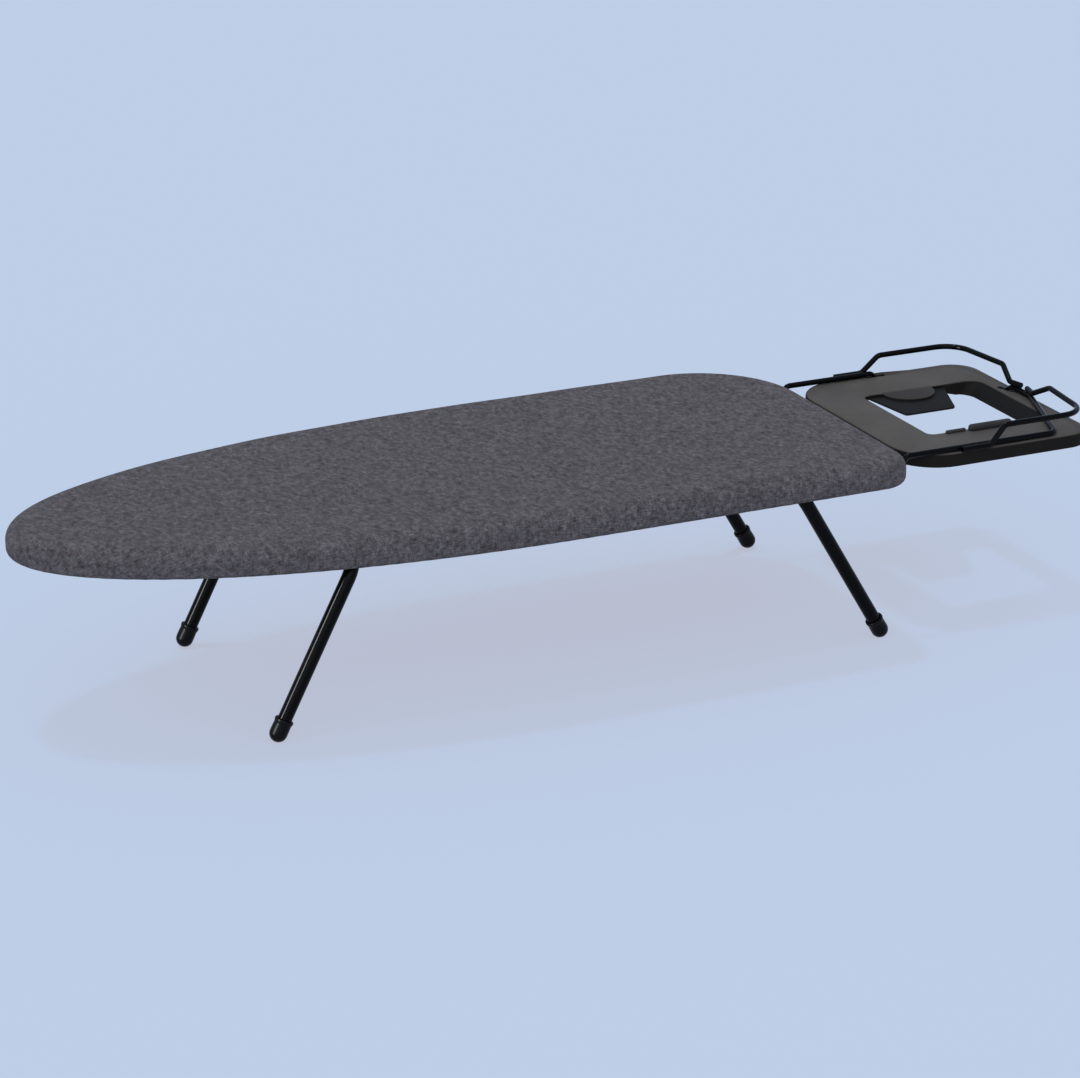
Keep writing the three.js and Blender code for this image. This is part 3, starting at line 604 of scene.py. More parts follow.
def tray_shade(f):
    """Painted shade: the tray's sides and skirt are painted far darker than its top, for the shade
    they stand in under the light from above. Its boss is half as dark.
    """
    _, aside, height = f.split(f.place)
    shade_ends_at = (TRAY_HIGH - 0.3) * MM
    # Painted shade: full colour on the top, falling to about an eighth below it
    top = f.span(height, 0.12, 1.0, shade_ends_at - 1.2 * MM, shade_ends_at)
    away = f.nodes.new("ShaderNodeVectorMath")
    away.operation = "DISTANCE"
    f.links.new(f.place, away.inputs[0])
    away.inputs[1].default_value = at(BOSS_X, OPENING_HALF_WIDTH, TRAY_HIGH)
    boss_edge = BOSS_RADIUS * MM
    disc = f.span(away.outputs["Value"], 0.5, 1.0, boss_edge - 1 * MM, boss_edge)
    band = f.span(aside, 0.5, 1.0, 76 * MM, 84 * MM)
    return f.times(top, f.math("MAXIMUM", disc, band))


finishes = {}


def finish_of(key, make, *values, **options):
    """Each finish is made once and shared by the pieces that have it."""
    if key not in finishes:
        finishes[key] = make(*values, **options)
    return finishes[key]


def settings():
    return bpy.context.scene.ironing_board


def coat():
    metal = settings().metal
    return finish_of("coat", black_coat, metal.coat_color, metal.coat_roughness)


def zinc_plate():
    color = settings().metal.zinc_color
    return finish_of("zinc_plate", zinc, "zinc_plate", color, roughness=0.34, spangle=900)


def nylon():
    color = settings().metal.nylon_color
    return finish_of("nylon", moulded, "nylon", color, roughness=0.42, grain=1500, depth=0.03 * MM)


# Sizes and colours


class ClothSettings(bpy.types.PropertyGroup):
    cloth_color: bpy.props.FloatVectorProperty(
        name="Cloth", description="Mean colour of the heathered cloth", subtype="COLOR",
        size=3, min=0, max=1, default=(0.0808, 0.0774, 0.0921),
    )
    speck_contrast: bpy.props.FloatProperty(
        name="Speck contrast", description="How far light and dark yarns differ from the mean",
        subtype="FACTOR", min=0, max=1, default=0.62,
    )
    cloth_thickness: bpy.props.FloatProperty(
        name="Cloth thickness", description="Thickness of the cover's cloth", unit="LENGTH",
        min=0.2 * MM, max=1.2 * MM, default=0.8 * MM,
    )
    gather_depth: bpy.props.FloatProperty(
        name="Gather depth", description="Height of the folds that the elastic draws in the hem",
        unit="LENGTH", min=0, max=2.5 * MM, default=1.6 * MM,
    )
    felt_color: bpy.props.FloatVectorProperty(
        name="Felt", description="Colour of the felt pad", subtype="COLOR",
        size=3, min=0, max=1, default=(0.48, 0.46, 0.42),
    )
    elastic_color: bpy.props.FloatVectorProperty(
        name="Elastic", description="Colour of the hem's elastic cord", subtype="COLOR",
        size=3, min=0, max=1, default=(0.025, 0.024, 0.027),
    )


class MetalSettings(bpy.types.PropertyGroup):
    coat_color: bpy.props.FloatVectorProperty(
        name="Coat", description="Colour of the stoved coat on tubes, wires, rim and rails",
        subtype="COLOR", size=3, min=0, max=1, default=(0.0012, 0.0012, 0.0014),
    )
    coat_roughness: bpy.props.FloatProperty(
        name="Coat roughness", description="Roughness of the stoved coat", subtype="FACTOR",
        min=0, max=1, default=0.12,
    )
    zinc_color: bpy.props.FloatVectorProperty(
        name="Zinc", description="Colour of the zinc-plated straps and rivets", subtype="COLOR",
        size=3, min=0, max=1, default=(0.52, 0.53, 0.54),
    )
    mesh_color: bpy.props.FloatVectorProperty(
        name="Deck mesh", description="Colour of the galvanised expanded mesh", subtype="COLOR",
        size=3, min=0, max=1, default=(0.4, 0.41, 0.42),
    )
    diamond_length: bpy.props.FloatProperty(
        name="Diamond length", description="Length of one diamond of the expanded mesh",
        unit="LENGTH", min=12 * MM, max=60 * MM, default=25 * MM,
    )
    diamond_width: bpy.props.FloatProperty(
        name="Diamond width", description="Width of one diamond of the expanded mesh",
        unit="LENGTH", min=5 * MM, max=30 * MM, default=12 * MM,
    )
    rubber_color: bpy.props.FloatVectorProperty(
        name="Foot rubber", description="Colour of the rubber feet", subtype="COLOR",
        size=3, min=0, max=1, default=(0.0055, 0.0055, 0.006),
    )
    nylon_color: bpy.props.FloatVectorProperty(
        name="Nylon", description="Colour of the bearing blocks", subtype="COLOR",
        size=3, min=0, max=1, default=(0.012, 0.012, 0.013),
    )


class RestSettings(bpy.types.PropertyGroup):
    tray_color: bpy.props.FloatVectorProperty(
        name="Tray", description="Colour of the moulded tray", subtype="COLOR",
        size=3, min=0, max=1, default=(0.080, 0.075, 0.072),
    )
    bar_color: bpy.props.FloatVectorProperty(
        name="Rest bars", description="Colour of the silicone bars", subtype="COLOR",
        size=3, min=0, max=1, default=(0.035, 0.035, 0.038),
    )


class StageSettings(bpy.types.PropertyGroup):
    backdrop_color: bpy.props.FloatVectorProperty(
        name="Backdrop", description="Colour of floor and backdrop", subtype="COLOR",
        size=3, min=0, max=1, default=(0.515, 0.617, 0.799),
    )
    shadow_share: bpy.props.FloatVectorProperty(
        name="Shadow", description="How much of the floor's colour the shadow can take away",
        subtype="COLOR", size=3, min=0, max=1, default=(0.09, 0.24, 0.31),
    )
    sky_strength: bpy.props.FloatProperty(
        name="Sky", description="Strength of the even light", min=0, max=2, default=0.72,
    )
    sun_strength: bpy.props.FloatProperty(
        name="Overhead lamp", description="Strength of the soft lamp above", min=0, max=10,
        default=0.6,
    )
    front_strength: bpy.props.FloatProperty(
        name="Front lamp", description="Strength of the very soft lamp behind the camera",
        min=0, max=10, default=0.8,
    )


class BoardSettings(bpy.types.PropertyGroup):
    cloth: bpy.props.PointerProperty(type=ClothSettings, name="Cloth", description="Soft pieces")
    metal: bpy.props.PointerProperty(type=MetalSettings, name="Metal", description="Deck and legs")
    rest: bpy.props.PointerProperty(type=RestSettings, name="Rest", description="Iron rest")
    stage: bpy.props.PointerProperty(type=StageSettings, name="Stage", description="Floor, light")


# Stage


def seen_by_eye(nodes, links):
    """A socket that is 1 for the camera's rays, and for rays in gloss and glass."""
    path = nodes.new("ShaderNodeLightPath")
    seen = path.outputs["Is Camera Ray"]
    for kind in ("Is Glossy Ray", "Is Transmission Ray"):
        most = nodes.new("ShaderNodeMath")
        most.operation = "MAXIMUM"
        links.new(seen, most.inputs[0])
        links.new(path.outputs[kind], most.inputs[1])
        seen = most.outputs[0]
    return seen


class StageOperator(bpy.types.Operator):
    """Camera, floor and light"""

    bl_idname = "ironing_board.stage"
    bl_label = "Stage"

    AIM = (500, 0, 150)
    AZIMUTH = math.radians(-25.101)
    ELEVATION = math.radians(20.53)
    ROLL = math.radians(0.085)
    DISTANCE = 3.944118
    ASIDE = 0.112016
    ABOVE = -0.008338
    PIXELS_PER_MM = 0.889
    IMAGE_WIDTH = 1080
    SENSOR = 36
    FLOOR_HALF = 15
    BOUNCE = (0.58, 0.61, 0.67)
    STRIP_PLACE = (-3.45, -0.45, 1.1)
    STRIP_AIM = (0, 0, 0.15)
    STRIP_SIZE = (0.85, 2.4)
    STRIP_POWER = 210

    def execute(self, context):
        """Makes the camera at the photograph's angle, the pale floor and soft light."""
        self.camera(context.scene)
        self.world(context.scene)
        self.floor(context.scene)
        self.lamps(context.scene)
        context.scene.view_settings.view_transform = "Standard"
        return {"FINISHED"}

    def camera(self, scene):
        a, e = self.AZIMUTH, self.ELEVATION
        back = Vector((math.sin(a) * math.cos(e), -math.cos(a) * math.cos(e), math.sin(e)))
        right = Vector((math.cos(a), math.sin(a), 0))
        up = back.cross(right)
        turn = Quaternion(back, self.ROLL)
        right.rotate(turn)
        up.rotate(turn)
        place = at(*self.AIM) + back * self.DISTANCE + right * self.ASIDE + up * self.ABOVE
        focal_pixels = self.PIXELS_PER_MM * self.DISTANCE / MM
        data = bpy.data.cameras.new("camera")
        data.sensor_width = self.SENSOR
        data.lens = focal_pixels * self.SENSOR / self.IMAGE_WIDTH
        data.clip_start, data.clip_end = 0.1, 100
        camera = bpy.data.objects.new("camera", data)
        facing = Matrix((right, up, back)).transposed().to_4x4()
        camera.matrix_world = Matrix.Translation(place) @ facing
        scene.collection.objects.link(camera)
        scene.camera = camera

    def world(self, scene):
        """Even white light, with the backdrop's colour where the camera or gloss looks."""
        stage = settings().stage
        world = bpy.data.worlds.new("studio")
        scene.world = world
        world.use_nodes = True
        nodes, links = world.node_tree.nodes, world.node_tree.links
        even = nodes["Background"]
        even.inputs["Color"].default_value = (1, 1, 1, 1)
        even.inputs["Strength"].default_value = stage.sky_strength
        backdrop = nodes.new("ShaderNodeBackground")
        backdrop.inputs["Color"].default_value = (*stage.backdrop_color, 1)
        mix = nodes.new("ShaderNodeMixShader")
        links.new(seen_by_eye(nodes, links), mix.inputs[0])
        links.new(even.outputs[0], mix.inputs[1])
        links.new(backdrop.outputs[0], mix.inputs[2])
        links.new(mix.outputs[0], nodes["World Output"].inputs[0])

    def floor(self, scene):
        """A wide sheet of the backdrop's colour that keeps a faint shadow.

        It bounces a plain colour of its own on the board.
        """
        stage = settings().stage
        color, share = stage.backdrop_color, stage.shadow_share
        material = bpy.data.materials.new("backdrop")
        material.use_nodes = True
        nodes, links = material.node_tree.nodes, material.node_tree.links
        nodes.clear()
        plain = nodes.new("ShaderNodeBsdfDiffuse")
        plain.inputs["Color"].default_value = (*self.BOUNCE, 1)
        lit = nodes.new("ShaderNodeBsdfDiffuse")
        lit.inputs["Color"].default_value = (*(c * s for c, s in zip(color, share)), 1)
        glow = nodes.new("ShaderNodeEmission")
        glow.inputs["Color"].default_value = (*(c * (1 - s) for c, s in zip(color, share)), 1)
        both = nodes.new("ShaderNodeAddShader")
        links.new(lit.outputs[0], both.inputs[0])
        links.new(glow.outputs[0], both.inputs[1])
        mix = nodes.new("ShaderNodeMixShader")
        links.new(seen_by_eye(nodes, links), mix.inputs[0])
        links.new(plain.outputs[0], mix.inputs[1])
        links.new(both.outputs[0], mix.inputs[2])
        out = nodes.new("ShaderNodeOutputMaterial")
        links.new(mix.outputs[0], out.inputs["Surface"])
        bm = bmesh.new()
        bmesh.ops.create_grid(bm, x_segments=1, y_segments=1, size=self.FLOOR_HALF)
        mesh = bpy.data.meshes.new("floor")
        bm.to_mesh(mesh)
        bm.free()
        mesh.materials.append(material)
        floor = bpy.data.objects.new("floor", mesh)
        scene.collection.objects.link(floor)

    def lamps(self, scene):
        """A small sun above makes the shadow, and a wide one lights the front."""
        stage = settings().stage
        self.sun(scene, "overhead", stage.sun_strength, spread=5, tilt=-9, aside=-8)
        self.sun(scene, "front", stage.front_strength, spread=70, tilt=68, aside=0)
        self.strip(scene)

    def sun(self, scene, name, strength, spread, tilt, aside):
        light = bpy.data.lights.new(name, "SUN")
        light.energy = strength
        light.angle = math.radians(spread)
        lamp = bpy.data.objects.new(name, light)
        lamp.rotation_euler = (math.radians(tilt), math.radians(aside), self.AZIMUTH)
        scene.collection.objects.link(lamp)

    def strip(self, scene):
        """A tall panel past the nose draws the highlights on the tubes. It lights gloss only."""
        light = bpy.data.lights.new("strip", "AREA")
        light.shape = "RECTANGLE"
        light.size, light.size_y = self.STRIP_SIZE
        light.energy = self.STRIP_POWER
        lamp = bpy.data.objects.new("strip", light)
        lamp.location = self.STRIP_PLACE
        away = Vector(self.STRIP_PLACE) - Vector(self.STRIP_AIM)
        lamp.rotation_mode = "QUATERNION"
        lamp.rotation_quaternion = away.to_track_quat("Z", "Y")
        lamp.visible_diffuse = False
        scene.collection.objects.link(lamp)


# Soft pieces


class CoverOperator(bpy.types.Operator):
    """Heathered cloth cover with a gathered hem"""

    bl_idname = "ironing_board.cover"
    bl_label = "Cover"

    COUNT = 720
    GATHERS = 118
    # Inset and height in millimetres, round the elastic
    CASING = ((17.2, 199.5), (20.2, 199.7), (22.6, 198.8), (23.5, 197.2), (22.6, 195.5))
    # Inset in millimetres, and the fold's share of the full gather depth
    HEM_FOLDS = ((20.5, 1.0), (17.5, 0.9), (14.5, 0.7), (11.5, 0.5))
    TURN_STEPS = 6
    TURN_FOLD = 0.35
    UNEVENNESS = 0.35 * MM
    HILL_SIZE = 0.07

    def gather(self, k):
        """The fold's height at one of the points round the hem, from 0 to 1."""
        turn = 2 * math.pi * k / self.COUNT
        phase = self.GATHERS * turn + 1.9 * math.sin(7 * turn) + 1.3 * math.sin(17 * turn + 0.6)
        size = 0.75 + 0.25 * math.sin(11 * turn + 1.1)
        return size * (0.5 + 0.5 * math.sin(phase))

    def hem_ring(self, line, inset, height, lift, sway):
        places = edge_ring(line, inset, height)
        for k, (place, (_, outward)) in enumerate(zip(places, line)):
            fold = self.gather(k)
            place.z += lift * fold
            shift = outward * sway * (fold - 0.5)
            place.x += shift.x
            place.y += shift.y
        return places

    def execute(self, context):
        """Pulls the cover from its hem over the edge and the top, and thickens it."""
        cloth = settings().cloth
        line = edge_line(self.COUNT)
        rings = self.section(line, cloth.gather_depth)
        bm = bmesh.new()
        bm.verts.layers.float_vector.new("flat")
        ring = set_ring(round_ring(bm, self.COUNT), rings[0])
        drawn = [(ring, rings[0])]
        for places in rings[1:]:
            ring = pull_ring(bm, ring, places)
            drawn.append((ring, places))
        close_spine(bm, ring)
        self.lay_out(bm, line, drawn)
        self.settle(bm)
        face_outwards(bm, 0.002 * MM)
        bmesh.ops.dissolve_degenerate(bm, edges=bm.edges, dist=0.001 * MM)
        face_upwards(bm)
        self.cloth_map(bm)
        flat = sum(face.calc_area() for face in bm.faces)
        finish = finish_of("cloth", heathered_cloth, cloth.cloth_color, cloth.speck_contrast)
        cover = finished("cloth_cover", bm, finish, "board", "cover", angle=75)
        wall = cover.modifiers.new("wall", "SOLIDIFY")
        wall.thickness = cloth.cloth_thickness
        wall.offset = -1
        return {"FINISHED"}

    def section(self, line, deep):
        """Rings from the casing, along the gathered hem and up the side, to the top's middle."""
        rings = [self.hem_ring(line, i * MM, z * MM, 0, deep) for i, z in self.CASING]
        for inset, share in self.HEM_FOLDS:
            lift = deep * share
            rings.append(self.hem_ring(line, inset * MM, HEM_HEIGHT, lift, lift))
        turn = arc(HEM_RADIUS, HEM_HEIGHT + HEM_RADIUS, HEM_RADIUS, 270, 180, self.TURN_STEPS)
        for i, (inset, height) in enumerate(turn):
            lift = self.TURN_FOLD * deep * (1 - i / self.TURN_STEPS)
            rings.append(self.hem_ring(line, inset, height, lift, lift))
        rings.append(edge_ring(line, 0, (HEM_HEIGHT + HEM_RADIUS + TOP - EDGE_RADIUS) / 2))
        edge = arc(EDGE_RADIUS, TOP - EDGE_RADIUS, EDGE_RADIUS, 180, 90, 10)
        rings += [edge_ring(line, inset, height) for inset, height in edge]
        rings += [edge_ring(line, inset, TOP) for inset in FACE_INSETS]
        return rings + towards_spine(rings[-1], 7, TOP)

    def settle(self, bm):
        """Lets the top and its edge sink a little, here more and there less, as on real felt."""
        for vertex in bm.verts:
            share = (vertex.co.z - TOP) / EDGE_RADIUS + 1
            if share > 0:
                uneven = wander(vertex.co.x, vertex.co.y, self.HILL_SIZE) - 1
                vertex.co.z += share * uneven * self.UNEVENNESS

    def lay_out(self, bm, line, drawn):
        """Notes on each vertex where it lay on the flat cloth."""
        layer = bm.verts.layers.float_vector["flat"]
        index = next(i for i, (_, p) in enumerate(drawn) if abs(p[0].z - TOP) < 1e-6)
        for i in range(index, len(drawn)):
            for vertex in drawn[i][0]:
                vertex[layer] = (vertex.co.x, vertex.co.y, 0)
        away = [0.0] * self.COUNT
        for i in range(index - 1, -1, -1):
            inner, outer = drawn[i + 1][0], drawn[i][0]
            for k, (near, far) in enumerate(zip(inner, outer)):
                away[k] += (far.co - near.co).length
                base = drawn[index][0][k].co
                outward = line[k][1]
                far[layer] = (base.x + outward.x * away[k], base.y + outward.y * away[k], 0)

    def cloth_map(self, bm):
        """Gives the faces that flat layout as their UV map, in metres."""
        layer = bm.verts.layers.float_vector["flat"]
        uv = bm.loops.layers.uv.new("cloth")
        for face in bm.faces:
            for loop in face.loops:
                loop[uv].uv = loop.vert[layer].xy


class PaddingOperator(bpy.types.Operator):
    """Needled felt under the cover"""

    bl_idname = "ironing_board.padding"
    bl_label = "Felt pad"

    COUNT = 240
    FOOT_INSET = 3.9 * MM
    LOW_INSETS = (6 * MM, 12 * MM, 20 * MM, 28 * MM, 34 * MM)
    FACE_DEPTH = 0.1 * MM
    LOW_UNEVENNESS = 0.12 * MM
    LOW_HILL_SIZE = 0.03
    TOP_UNEVENNESS = 0.3 * MM
    TOP_HILL_SIZE = 0.05

    def execute(self, context):
        """Pulls the pad from its edge over its top and under its bottom."""
        cloth = settings().cloth
        line = edge_line(self.COUNT)
        bm = bmesh.new()
        rings = [edge_ring(line, self.FOOT_INSET, PAD_BOTTOM)]
        for inset, height in arc(EDGE_RADIUS, TOP - EDGE_RADIUS, PAD_EDGE, 150, 90, 6):
            rings.append(edge_ring(line, inset, height))
        rings += [edge_ring(line, inset, PAD_TOP) for inset in FACE_INSETS]
        rings += towards_spine(rings[-1], 7, PAD_TOP)
        low = [edge_ring(line, inset, PAD_BOTTOM) for inset in self.LOW_INSETS]
        low += towards_spine(low[-1], 9, PAD_BOTTOM)
        first = set_ring(round_ring(bm, self.COUNT), rings[0])
        close_spine(bm, pull_rings(bm, first, rings[1:]))
        close_spine(bm, pull_rings(bm, first, low))
        for vertex in bm.verts:
            x, y, z = vertex.co
            if abs(z - PAD_BOTTOM) < self.FACE_DEPTH:
                uneven = 1 + wander(x, y, self.LOW_HILL_SIZE, 2.0)
                vertex.co.z += self.LOW_UNEVENNESS * uneven
            elif z > PAD_TOP - self.FACE_DEPTH:
                uneven = 1 + wander(x, y, self.TOP_HILL_SIZE, 1.0)
                vertex.co.z -= self.TOP_UNEVENNESS * uneven
        face_outwards(bm, 0.002 * MM)
        bmesh.ops.dissolve_degenerate(bm, edges=bm.edges, dist=0.001 * MM)
        finish = finish_of("felt", needled_felt, cloth.felt_color)
        pad = finished("felt_padding", bm, finish, "board", "felt_pad", angle=60)
        return {"FINISHED"}


class ElasticOperator(bpy.types.Operator):
    """Braided elastic cord in the hem"""

    bl_idname = "ironing_board.elastic"
    bl_label = "Hem elastic"

    COUNT = 480
    INSET = 20.2 * MM
    HEIGHT = 197.6 * MM
    RADIUS = 1.2 * MM
    SIDES = 10
    WAVES = 59
    WAVE_HEIGHT = 0.15 * MM

    def execute(self, context):
        """Pulls the cord's rings round its own section and joins the last to the first."""
        line = edge_line(self.COUNT)
        rings = []
        for inset, height in arc(self.INSET, self.HEIGHT, self.RADIUS, 0, 360, self.SIDES):
            places = edge_ring(line, inset, height)
            for k, place in enumerate(places):
                turn = 2 * math.pi * k / self.COUNT
                place.z += self.WAVE_HEIGHT * math.sin(self.WAVES * turn)
            rings.append(places)
        bm = closed_section(rings)
        self.braid_map(bm)
        finish = finish_of("elastic", braided_cord, settings().cloth.elastic_color)
        finished("elastic_cord", bm, finish, "board", "hem_elastic", angle=80)
        return {"FINISHED"}

    def braid_map(self, bm):
        """Lays the braid's pattern aslant over the cord, in metres."""
        uv = bm.loops.layers.uv.new("cloth")
        for face in bm.faces:
            for loop in face.loops:
                spot = loop.vert.co
                loop[uv].uv = (spot.x + spot.z * 0.7, spot.y + spot.z)


# Deck


class DeckOperator(bpy.types.Operator):
    """Expanded mesh, rim and cross rails"""

    bl_idname = "ironing_board.deck"
    bl_label = "Steel deck"

    COUNT = 300
    CELLS = 84
    MESH_INSET = 6 * MM
    WHOLE_CELL_INSET = 8.5 * MM
    MESH_SHEET = 0.55 * MM
    STRAND = 1.15 * MM
    STRAND_TILT = 0.32 * MM
    RIM_OUTSIDE = 4.2 * MM
    RIM_INSIDE = 5.4 * MM
    FLANGE_INSET = 17.4 * MM
    RIM_EDGE = 0.6 * MM
    RIM_FILLET = 1.5 * MM

    def execute(self, context):
        """Makes the expanded mesh, the rim and the three cross rails."""
        self.expanded_mesh()
        self.rim()
        for rail in ("nose_rail", "rear_rail", "tail_rail"):
            refined(rail, 0.35 * MM, coat())
        return {"FINISHED"}

    def depth_in(self, line, spot):
        """How far a place lies inside the outline, and the direction out of it."""
        place, outward = min(line, key=lambda pair: (pair[0] - spot).length_squared)
        return (place - spot).dot(outward), outward

    def expanded_mesh(self):
        """Cuts a slanted grid to the outline, opens its cells and tilts their strands."""
        metal = settings().metal
        bm = bmesh.new()
        cells = self.CELLS
        bmesh.ops.create_grid(bm, x_segments=cells, y_segments=cells, size=cells / 2)
        bmesh.ops.rotate(bm, verts=bm.verts, matrix=Matrix.Rotation(math.radians(45), 3, "Z"))
        diagonal = math.sqrt(2)
        size = Vector((metal.diamond_length / diagonal, metal.diamond_width / diagonal, 1))
        bmesh.ops.scale(bm, vec=size, verts=bm.verts)
        bmesh.ops.translate(bm, vec=Vector((LENGTH / 2, 0, 0)), verts=bm.verts)
        line = edge_line(self.COUNT)
        outside = []
        for face in bm.faces:
            spot = face.calc_center_median().xy
            if not (0 < spot.x < LENGTH and abs(spot.y) < HALF_WIDTH):
                outside.append(face)
            elif self.depth_in(line, spot)[0] < self.WHOLE_CELL_INSET:
                outside.append(face)
        bmesh.ops.delete(bm, geom=outside, context="FACES")
        for vertex in bm.verts:
            depth, outward = self.depth_in(line, vertex.co.xy)
            past = depth - self.MESH_INSET
            if past < 0:
                vertex.co.x += outward.x * past
                vertex.co.y += outward.y * past
        made = bmesh.ops.inset_individual(
            bm, faces=bm.faces, thickness=self.STRAND / 2, use_even_offset=True
        )
        strands = set(made["faces"])
        holes = [face for face in bm.faces if face not in strands]
        for face in holes:
            middle = face.calc_center_median()
            for vertex in face.verts:
                vertex.co.z += self.STRAND_TILT * (1 if vertex.co.y > middle.y else -1)
        bmesh.ops.delete(bm, geom=holes, context="FACES_ONLY")
        bmesh.ops.translate(bm, vec=Vector((NOSE_X, 0, MESH_MIDDLE)), verts=bm.verts)
        finish = finish_of(
            "galvanised", zinc, "galvanised", metal.mesh_color, roughness=0.38, spangle=260
        )
        mesh = finished("expanded_mesh", bm, finish, "board", "deck_mesh", angle=40)
        wall = mesh.modifiers.new("wall", "SOLIDIFY")
        wall.thickness = self.MESH_SHEET
        wall.offset = 0

    def rim(self):
        """An upright rim with its flange, as one section round the board."""
        line = edge_line(self.COUNT)
        outside, inside, turn = self.RIM_OUTSIDE, self.RIM_INSIDE, self.RIM_EDGE
        flange, flange_low = self.FLANGE_INSET, FLANGE_TOP - SHEET
        section = [
            (outside, RIM_BOTTOM + turn), (outside, RIM_TOP - turn), (outside + turn, RIM_TOP),
            (inside, RIM_TOP - turn), (inside, FLANGE_TOP), (flange - turn, FLANGE_TOP),
            (flange, FLANGE_TOP - turn), (flange - turn, flange_low),
            (inside + self.RIM_FILLET, flange_low), (inside, flange_low - self.RIM_FILLET),
            (inside, RIM_BOTTOM + turn), (outside + turn, RIM_BOTTOM), (outside, RIM_BOTTOM + turn),
        ]
        bm = closed_section([edge_ring(line, inset, height) for inset, height in section])
        finished("rolled_rim", bm, coat(), "board", "deck_rim", angle=38)


# Legs


def leg_matrix(end):
    leg = LEGS[end]
    place = Matrix.Translation((NOSE_X + leg["axis"], 0, LEG_HEIGHT))
    return place @ Matrix.Rotation(math.radians(leg["lean"]), 4, "Y")


def foot_distance(end):
    return (LEG_HEIGHT - FOOT_RADIUS + FOOT_FLAT) / math.cos(math.radians(LEGS[end]["lean"]))


class LegsOperator(bpy.types.Operator):
    """Bent tubes, stop tabs and rubber feet"""

    bl_idname = "ironing_board.legs"
    bl_label = "Leg frames"

    TUBE_END = 2.5 * MM
    STOP_PLACE = 50 * MM
    STOP_WELD = 19 * MM
    STOP_WELD_ASIDE = 1.7 * MM
    STOP_BEAD = 0.9 * MM
    DOME_STEPS = 8
    # Above the dome, in millimetres: how far past the foot's radius, and the height
    COLLAR = (
        (-0.05, 5), (-0.2, 11.2), (-0.1, 12), (0.2, 12.8), (0.5, 13.6), (0.6, 14.6),
        (0.55, 15.8), (0.2, 16.6), (-0.5, 16.95),
    )
    # Radius and height of the bore in millimetres, from its chamfer down to its floor
    BORE = ((8.9, 16.9), (8.25, 16.4), (8.15, 14.5), (8.15, 2), (0, 2))

    def execute(self, context):
        """Makes both leg frames: a bent tube, two stop tabs and two rubber feet each."""
        for end in LEGS:
            self.tube(end)
            for side, sign in (("near", -1), ("far", 1)):
                self.foot(end, side, sign)
                refined(f"{end}_stop_{side}", 0.6 * MM, coat(), 3)
        return {"FINISHED"}

    def tube(self, end):
        """Bends a leg's tube and welds its two stop tabs on, with a bead on both sides."""
        spread = LEGS[end]["spread"]
        low = self.TUBE_END - foot_distance(end)
        corners = [
            (Vector((0, -spread, low)), 0),
            (Vector((0, -spread, 0)), BEND_RADIUS),
            (Vector((0, spread, 0)), BEND_RADIUS),
            (Vector((0, spread, low)), 0),
        ]
        bm = bmesh.new()
        sweep(bm, bent(corners, 16), TUBE_RADIUS, 32, 0.4 * MM)
        bmesh.ops.transform(bm, matrix=leg_matrix(end), verts=bm.verts)
        sign = -1 if end == "nose" else 1
        reach = TUBE_RADIUS + 0.2 * MM
        cos, sin = math.cos(STOP_TILT), math.sin(STOP_TILT)
        for side in (-1, 1):
            for aside in (-self.STOP_WELD_ASIDE, self.STOP_WELD_ASIDE):
                seat = Vector((
                    NOSE_X + LEGS[end]["axis"] + sign * (reach * cos - aside * sin),
                    side * self.STOP_PLACE, LEG_HEIGHT + reach * sin + aside * cos,
                ))
                weld_bead(bm, seat, Vector((0, 1, 0)), self.STOP_WELD, self.STOP_BEAD)
        face_outwards(bm)
        finished(f"{end}_leg_bend", bm, coat(), f"{end}_leg", f"{end}_leg_tube")

    def foot(self, end, side, sign):
        """Turns the foot's profile round its arm and cuts it flat on the table."""
        r = FOOT_RADIUS / MM
        angles = [math.pi / 2 * i / self.DOME_STEPS for i in range(self.DOME_STEPS + 1)]
        dome = [(r * math.sin(angle), -r * math.cos(angle)) for angle in angles]
        collar = [(r + past, height) for past, height in self.COLLAR]
        bm = bmesh.new()
        turned(bm, dome + collar + list(self.BORE), 36)
        bmesh.ops.remove_doubles(bm, verts=bm.verts, dist=0.01 * MM)
        drop = Matrix.Translation((0, sign * LEGS[end]["spread"], -foot_distance(end)))
        bmesh.ops.transform(bm, matrix=leg_matrix(end) @ drop, verts=bm.verts)
        cut = bmesh.ops.bisect_plane(
            bm, geom=bm.verts[:] + bm.edges[:] + bm.faces[:], dist=0.001 * MM,
            plane_co=(0, 0, 0), plane_no=(0, 0, -1), clear_outer=True,
        )
        loop = [e for e in cut["geom_cut"] if isinstance(e, bmesh.types.BMEdge)]
        bmesh.ops.holes_fill(bm, edges=loop, sides=0)
        face_outwards(bm)
        finish = finish_of(
            "rubber", moulded, "foot_rubber", settings().metal.rubber_color, roughness=0.3,
            grain=1300, depth=0.02 * MM, spread=0.3, gloss_level=0.08,
        )
        node = f"{end}_foot_{side}"
        finished(node + "_cap", bm, finish, f"{end}_leg", node, angle=50)


# Saddles


